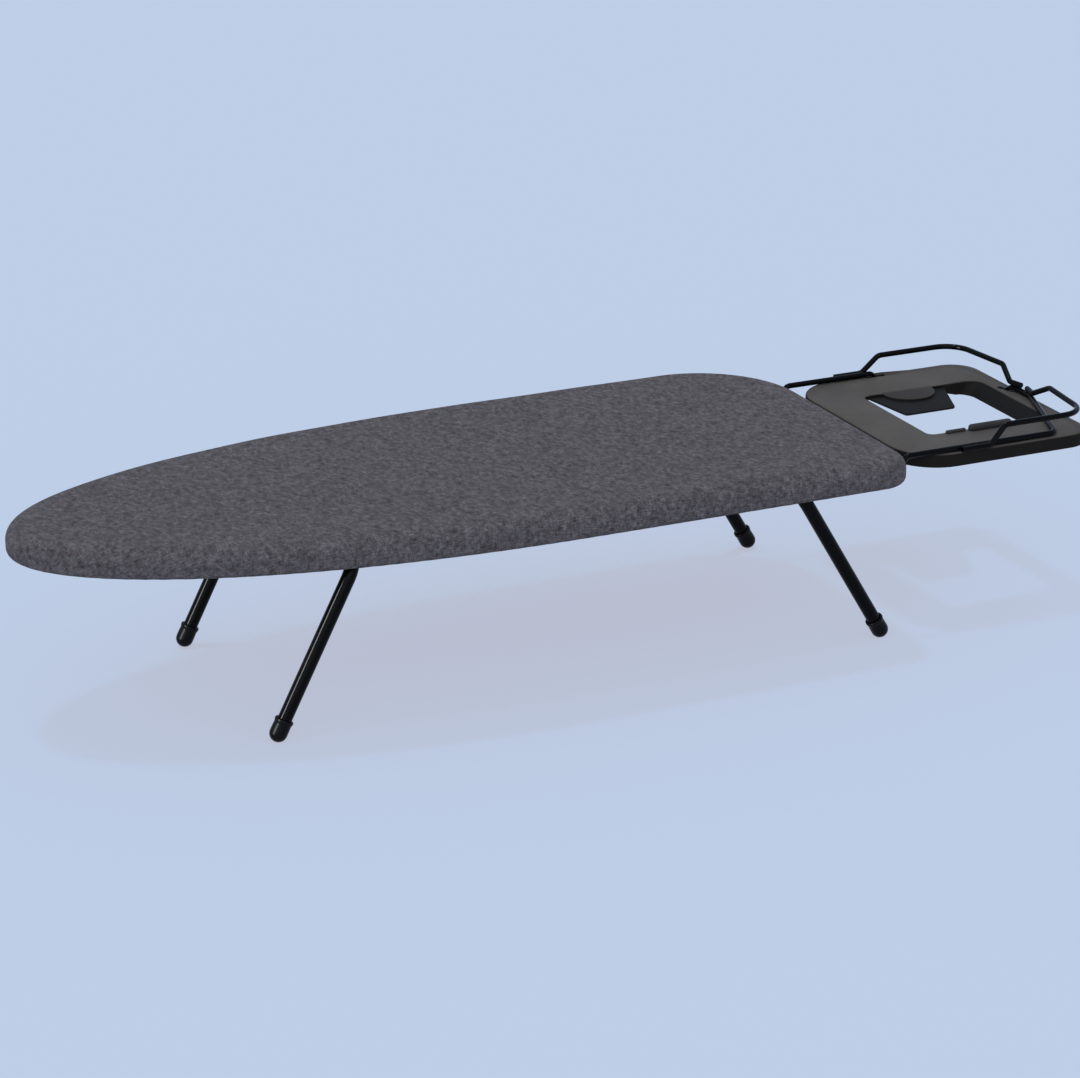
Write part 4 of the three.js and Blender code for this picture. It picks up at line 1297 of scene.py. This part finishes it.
class SaddlesOperator(bpy.types.Operator):
    """Nylon blocks, zinc straps and rivets that hold the bars"""

    bl_idname = "ironing_board.saddles"
    bl_label = "Saddles"

    def execute(self, context):
        """Makes the blocks, straps and domed rivets of the six saddles."""
        for kind in ("nose_pivot", "rear_pivot", "rod"):
            for side in ("near", "far"):
                refined(f"{kind}_block_{side}", 0.6 * MM, nylon(), 3)
                refined(f"{kind}_strap_{side}", 0.35 * MM, zinc_plate())
                for end in ("front", "back"):
                    self.rivet(f"{kind}_rivet_{side}_{end}")
        return {"FINISHED"}

    def rivet(self, node):
        """Turns a rivet with a domed factory head below and a pressed one above."""
        low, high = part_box(node)
        middle = (low + high) / 2
        bottom, top = low.z / MM, high.z / MM
        profile = [
            (0, bottom), (1.3, bottom + 0.12), (2.5, bottom + 0.55), (3.4, bottom + 1.2),
            (3.75, bottom + 1.6), (3.7, bottom + 1.8), (2, bottom + 1.8), (2, top - 1.8),
            (3.5, top - 1.8), (3.7, top - 1.5), (3.3, top - 0.7), (2.2, top - 0.35),
            (1.2, top - 0.45), (0.5, top - 0.8), (0, top - 0.85),
        ]
        bm = bmesh.new()
        turned(bm, profile, 28)
        bmesh.ops.translate(bm, vec=(middle.x, middle.y, 0), verts=bm.verts)
        face_outwards(bm, 0.01 * MM)
        finished(node + "_turned", bm, zinc_plate(), "board", node, angle=45)


# Iron rest


def slant_x(y):
    """Where the carrier's slanted run to its tip lies, to a hundredth of a millimetre."""
    share = (y - TIP_HALF_WIDTH) / (ROD_SPREAD - TIP_HALF_WIDTH)
    return round(CARRIER_TIP + (CARRIER_CORNER - CARRIER_TIP) * share, 2)


class WiresOperator(bpy.types.Operator):
    """Carrier wire and the two raised guard wires"""

    bl_idname = "ironing_board.wires"
    bl_label = "Rest wires"

    ROD_START = 895
    RISE_START = 1004
    RISE_END = 1021
    HIDDEN_TURN = 112
    HIDDEN_CORNER = 1228
    GUARD_HEIGHT = WIRE_OVER + 21
    GUARD_SPREAD = 145.5
    GUARD_START = 1090
    GUARD_RISE = 1128
    SIDE_WELDS = ((1097, 145.5, 209.7), (1119, 145.5, 209.7))
    TIP_WELD = (1267, 11, 212.2)

    def carrier(self):
        """Place and bend radius of each corner: over the near side and under the far side."""
        dip_end = slant_x(DIP_END)
        return (
            (self.ROD_START, -ROD_SPREAD, ROD_HEIGHT, 0),
            (self.RISE_START, -ROD_SPREAD, ROD_HEIGHT, 8),
            (self.RISE_END, -ROD_SPREAD, WIRE_OVER, 8),
            (CARRIER_CORNER, -ROD_SPREAD, WIRE_OVER, 16),
            (CARRIER_TIP, -TIP_HALF_WIDTH, WIRE_OVER, 18),
            (CARRIER_TIP, TIP_HALF_WIDTH, WIRE_OVER, 18),
            (slant_x(DIP_START), DIP_START, WIRE_OVER, 6),
            (dip_end, DIP_END, WIRE_UNDER, 6),
            (dip_end, self.HIDDEN_TURN, WIRE_UNDER, 18),
            (self.HIDDEN_CORNER, ROD_SPREAD, WIRE_UNDER, 16),
            (FAR_DIP_END, ROD_SPREAD, WIRE_UNDER, 6),
            (FAR_DIP_START, ROD_SPREAD, WIRE_OVER, 6),
            (self.RISE_END, ROD_SPREAD, WIRE_OVER, 8),
            (self.RISE_START, ROD_SPREAD, ROD_HEIGHT, 8),
            (self.ROD_START, ROD_SPREAD, ROD_HEIGHT, 0),
        )

    def guard(self):
        """Place and bend radius of each corner, from beside the rod to over the tip."""
        beside = ROD_SPREAD + 2 * WIRE_RADIUS + WELD_GAP
        above = WIRE_OVER + 2 * WIRE_RADIUS + WELD_GAP
        return (
            (self.GUARD_START, beside, WIRE_OVER, 0),
            (self.GUARD_RISE, beside, WIRE_OVER, 10),
            (1149, self.GUARD_SPREAD, self.GUARD_HEIGHT, 10),
            (1258, self.GUARD_SPREAD, self.GUARD_HEIGHT, 32),
            (1269.5, 52, self.GUARD_HEIGHT, 13),
            (1263.5, 25, above, 10),
            (CARRIER_TIP, 6, above, 0),
        )

    def wire(self, corners, sign=1):
        """Bends a wire through its corners, or through their mirror image."""
        bm = bmesh.new()
        places = [(at(x, sign * y, z), r * MM) for x, y, z, r in corners]
        sweep(bm, bent(places, 10), WIRE_RADIUS * MM, 16, 0.5 * MM)
        return bm

    def execute(self, context):
        """Bends the carrier and the guards, and welds the guards on."""
        bm = self.wire(self.carrier())
        face_outwards(bm)
        finished("carrier_wire", bm, coat(), "board", "carrier_frame")
        for side, sign in (("near", -1), ("far", 1)):
            bm = self.wire(self.guard(), sign)
            for x, y, z in self.SIDE_WELDS:
                weld_bead(bm, at(x, sign * y, z), Vector((1, 0, 0)), 8 * MM, 1.2 * MM)
            x, y, z = self.TIP_WELD
            weld_bead(bm, at(x, sign * y, z), Vector((0, 1, 0)), 7 * MM, 1.4 * MM)
            face_outwards(bm)
            piece = f"guard_bend_{side}"
            finished(piece, bm, coat(), "board", f"guard_wire_{side}")
        return {"FINISHED"}


def rounded_rectangle(x0, x1, half_width, radius, steps, front=None):
    """Places round a rectangle with rounded corners, in millimetres from the nose."""
    front = front or radius
    corners = (
        (x1 - radius, half_width - radius, 0, radius),
        (x0 + front, half_width - front, 90, front),
        (x0 + front, front - half_width, 180, front),
        (x1 - radius, radius - half_width, 270, radius),
    )
    places = []
    for x, y, start, size in corners:
        for i in range(steps + 1):
            angle = math.radians(start + 90 * i / steps)
            places.append((x + size * math.cos(angle), y + size * math.sin(angle)))
    return places


class RestOperator(bpy.types.Operator):
    """Moulded tray with its tab and boss, and the silicone bars"""

    bl_idname = "ironing_board.rest"
    bl_label = "Iron rest"

    WALL = 2.5 * MM
    EDGE = 3
    END_CORNER = 35
    FRONT_CORNER = 58
    OPENING_FRONT = 1089
    OPENING_END = 1237
    OPENING_LEAN = 15
    OPENING_END_CORNER = 16
    OPENING_FRONT_CORNER = 9
    OPENING_STEPS = 6
    BOSS_STEPS = 24
    LIP_HEIGHT = 199
    LIP_SLOPE_START = 1206
    LIP_SLOPE_LENGTH = 24
    # How far the opening grows, and at what height, where its edge rounds over to the top
    LIP_ROUNDING = ((0, 203.6), (0.4, 204.6), (1.4, 205))
    SLOT_HALF_LENGTH = 13
    SLOT_HALF_WIDTH = 3.9
    # Place and turn of the two slots that the carrier dips through. The first one reaches
    # 0.25 past the flat top, and a narrow strip stands up there by a wall's thickness.
    SLOTS = ((1143.5, 141.85, 0), (1262.13, 30, -69.8))
    TAB_CORNERS = ((1098, 79.7), (1108, 6.5), (1176, 6.5), (1204, 79.7))
    TAB_HEIGHT = 199.1
    RIB_COUNT = 3
    RIB_PITCH = 44
    RIB_WALL = 1.6
    RIB_HEIGHT = 193.5
    NEAR_RIBS_X = 1163
    NEAR_RIBS_Y = (-147.2, -79.8)
    FRONT_RIBS_X = (1027.2, 1087.8)
    BAR_HEIGHT = 205.3

    def execute(self, context):
        """Moulds the tray and lays the two bars on it."""
        rest = settings().rest
        # The tray's colour carries painted shade on its sides and skirt, and a darker boss
        self.tray(finish_of(
            "tray", moulded, "tray_plastic", rest.tray_color, roughness=0.55, grain=1100,
            depth=0.05 * MM, gloss_level=0.06, shade=tray_shade,
        ))
        finish = finish_of(
            "silicone", moulded, "silicone", rest.bar_color, roughness=0.62, grain=1600,
            depth=0.03 * MM,
        )
        self.bar("long", 1138, 1196, -89.5, -80.5, 7, finish)
        self.bar("short", 1108, 1135, -85.5, -80.5, 3.4, finish)
        return {"FINISHED"}

    def opening(self, grow, height):
        """The opening's outline: its end leans back, and a half-round boss stands into it."""
        end = self.OPENING_END + self.OPENING_LEAN * (height - TRAY_LOW) / (TRAY_HIGH - TRAY_LOW)
        places = rounded_rectangle(
            self.OPENING_FRONT - grow, end + grow, OPENING_HALF_WIDTH + grow,
            self.OPENING_END_CORNER + grow, self.OPENING_STEPS, self.OPENING_FRONT_CORNER + grow,
        )
        size = BOSS_RADIUS - grow
        low = math.degrees(math.atan2(grow, math.sqrt(size * size - grow * grow)))
        bump = []
        for i in range(self.BOSS_STEPS + 1):
            angle = math.radians(-low - (180 - 2 * low) * i / self.BOSS_STEPS)
            x, y = size * math.cos(angle), size * math.sin(angle)
            bump.append((BOSS_X + x, OPENING_HALF_WIDTH + y))
        corner = self.OPENING_STEPS + 1
        return places[:corner] + bump + places[corner:]

    def ring(self, places, height):
        return [at(x, y, height) for x, y in places]

    def tray(self, finish):
        """One skin: skirt, rounded edge, top with its holes, and lips; then a wall's thickness."""
        bm = bmesh.new()
        outer = [self.ring(self.outer(0), TRAY_LOW)]
        for inset, height in arc(self.EDGE, TRAY_HIGH - self.EDGE, self.EDGE, 180, 90, 5):
            outer.append(self.ring(self.outer(inset), height))
        first = set_ring(round_ring(bm, len(outer[0])), outer[0])
        edge = ring_edges(bm, pull_rings(bm, first, outer[1:])) + self.lip_edge(bm)
        for x, y, turn in self.SLOTS:
            edge += self.slot_edge(bm, x, y, turn)
        bmesh.ops.triangle_fill(bm, use_beauty=True, edges=edge, normal=(0, 0, 1))
        bmesh.ops.recalc_face_normals(bm, faces=bm.faces)
        face_upwards(bm)
        bmesh.ops.solidify(bm, geom=bm.faces[:], thickness=self.WALL)
        bmesh.ops.dissolve_limit(
            bm, angle_limit=math.radians(0.5), verts=bm.verts, edges=bm.edges
        )
        self.tab(bm)
        self.ribs(bm)
        finished("rest_tray", bm, finish, "board", "iron_tray", angle=40)

    def outer(self, inset):
        return rounded_rectangle(
            TRAY_FRONT + inset, TRAY_END - inset, TRAY_HALF_WIDTH - inset,
            self.END_CORNER - inset, 12, self.FRONT_CORNER - inset,
        )

    def lip_edge(self, bm):
        """The opening's lip, which slopes down to the skirt's foot along the leaning end."""
        low, lip = (self.ring(self.opening(0, z), z) for z in (TRAY_LOW, self.LIP_HEIGHT))
        start = at(self.LIP_SLOPE_START, 0, 0).x
        for i, (deep, place) in enumerate(zip(low, lip)):
            share = (place.x - start) / (self.LIP_SLOPE_LENGTH * MM)
            lip[i] = place.lerp(deep, min(max(share, 0.0), 1.0))
        first = set_ring(round_ring(bm, len(lip)), lip)
        rings = [self.ring(self.opening(grow, z), z) for grow, z in self.LIP_ROUNDING]
        return ring_edges(bm, pull_rings(bm, first, rings))

    def slot_edge(self, bm, x, y, turn):
        """A slot in the top, turned by an angle in degrees."""
        half = self.SLOT_HALF_LENGTH
        places = rounded_rectangle(-half, half, self.SLOT_HALF_WIDTH, 2, 4)
        spots = [Vector((a * MM, b * MM, 0)) for a, b in places]
        ring = set_ring(round_ring(bm, len(spots)), spots)
        bmesh.ops.rotate(bm, verts=ring, matrix=Matrix.Rotation(math.radians(turn), 3, "Z"))
        bmesh.ops.translate(bm, verts=ring, vec=at(x, y, TRAY_HIGH))
        return ring_edges(bm, ring)

    def tab(self, bm):
        """The lower tab, a plate under the boss."""
        spots = [bm.verts.new(at(x, y, self.TAB_HEIGHT)) for x, y in self.TAB_CORNERS]
        self.plate(bm, spots, 2.6, 4, 0.8)

    def plate(self, bm, spots, height, corner, edge):
        """Raises a plate on a few vertices, with rounded corners and edges."""
        face = bm.faces.new(spots)
        made = bmesh.ops.extrude_face_region(bm, geom=[face])["geom"]
        top = [v for v in made if isinstance(v, bmesh.types.BMVert)]
        bmesh.ops.translate(bm, vec=(0, 0, height * MM), verts=top)
        around = set(spots) | set(top)
        faces = {f for v in around for f in v.link_faces}
        bmesh.ops.recalc_face_normals(bm, faces=list(faces))
        posts = [bm.edges.get((a, b)) for a, b in zip(spots, sorted_to(spots, top))]
        made = bmesh.ops.bevel(
            bm, geom=posts, offset=corner * MM, offset_type="OFFSET", affect="EDGES",
            segments=6, profile=0.5, material=-1,
        )
        shell = connected(made["faces"][0])
        rims = [e for e in {e for f in shell for e in f.edges} if e.calc_face_angle(0) > 1]
        bmesh.ops.bevel(
            bm, geom=rims, offset=edge * MM, offset_type="OFFSET", affect="EDGES",
            segments=3, profile=0.5, material=-1,
        )

    def ribs(self, bm):
        """Stiffening ribs under the near and the front band."""
        for i in range(self.RIB_COUNT):
            offset = (i - (self.RIB_COUNT - 1) / 2) * self.RIB_PITCH
            x = self.NEAR_RIBS_X + offset
            self.rib(bm, x, x + self.RIB_WALL, *self.NEAR_RIBS_Y)
            self.rib(bm, *self.FRONT_RIBS_X, offset, offset + self.RIB_WALL)

    def rib(self, bm, x0, x1, y0, y1):
        corners = ((x0, y0), (x1, y0), (x1, y1), (x0, y1))
        spots = [bm.verts.new(at(x, y, self.RIB_HEIGHT)) for x, y in corners]
        self.plate(bm, spots, 10.2, 0.3, 0.3)

    def bar(self, name, x0, x1, y0, y1, height, finish):
        """A bar with round ends and a softly crowned top."""
        radius = (y1 - y0) / 2
        middle = (y0 + y1) / 2
        crown = min(radius * 0.85, height * 0.6)
        rings = [(0.4, self.BAR_HEIGHT), (0, self.BAR_HEIGHT + 0.4)]
        rings += arc(crown, self.BAR_HEIGHT + height - crown, crown, 180, 90, 6)
        drawn = []
        for inset, z in rings:
            half = radius - inset
            places = rounded_rectangle(x0 + inset, x1 - inset, half, half - 0.01, 8)
            drawn.append([at(x, y + middle, z) for x, y in places])
        bm = bmesh.new()
        first = set_ring(round_ring(bm, len(drawn[0])), drawn[0])
        cap(bm, first)
        cap(bm, pull_rings(bm, first, drawn[1:]))
        face_outwards(bm, 0.01 * MM)
        node = f"rest_bar_{name}"
        finished(node + "_soft", bm, finish, "board", node, angle=60)


def sorted_to(spots, others):
    """The other vertices, each in the place of the one that it stands over."""
    return [min(others, key=lambda v: (v.co.xy - spot.co.xy).length) for spot in spots]


def connected(face):
    """All faces that hang together with one."""
    found, open_faces = {face}, [face]
    while open_faces:
        for edge in open_faces.pop().edges:
            for other in edge.link_faces:
                if other not in found:
                    found.add(other)
                    open_faces.append(other)
    return found


class BoardPanel(bpy.types.Panel):
    """Sizes, colours and steps of the ironing board"""

    bl_idname = "VIEW3D_PT_ironing_board"
    bl_label = "Ironing board"
    bl_space_type = "VIEW_3D"
    bl_region_type = "UI"
    bl_category = "Ironing board"

    def draw(self, context):
        groups = settings()
        for group, operators in (
            (groups.stage, STAGE_STEPS), (groups.cloth, CLOTH_STEPS),
            (groups.metal, METAL_STEPS), (groups.rest, REST_STEPS),
        ):
            box = self.layout.box()
            for name in group.bl_rna.properties.keys():
                if name not in ("rna_type", "name"):
                    box.prop(group, name)
            for operator in operators:
                box.operator(operator)


STAGE_STEPS = ("ironing_board.stage",)
CLOTH_STEPS = ("ironing_board.cover", "ironing_board.padding", "ironing_board.elastic")
METAL_STEPS = ("ironing_board.deck", "ironing_board.legs", "ironing_board.saddles")
REST_STEPS = ("ironing_board.wires", "ironing_board.rest")
CLASSES = (
    ClothSettings, MetalSettings, RestSettings, StageSettings, BoardSettings,
    StageOperator, CoverOperator, PaddingOperator, ElasticOperator, DeckOperator,
    LegsOperator, SaddlesOperator, WiresOperator, RestOperator, BoardPanel,
)


def register():
    for cls in CLASSES:
        bpy.utils.register_class(cls)
    bpy.types.Scene.ironing_board = bpy.props.PointerProperty(type=BoardSettings)


def unregister():
    del bpy.types.Scene.ironing_board
    for cls in reversed(CLASSES):
        bpy.utils.unregister_class(cls)


def main():
    register()
    for step in STAGE_STEPS + CLOTH_STEPS[1:] + CLOTH_STEPS[:1] + METAL_STEPS + REST_STEPS:
        group, name = step.split(".")
        getattr(getattr(bpy.ops, group), name)()


if __name__ == "__main__":
    main()
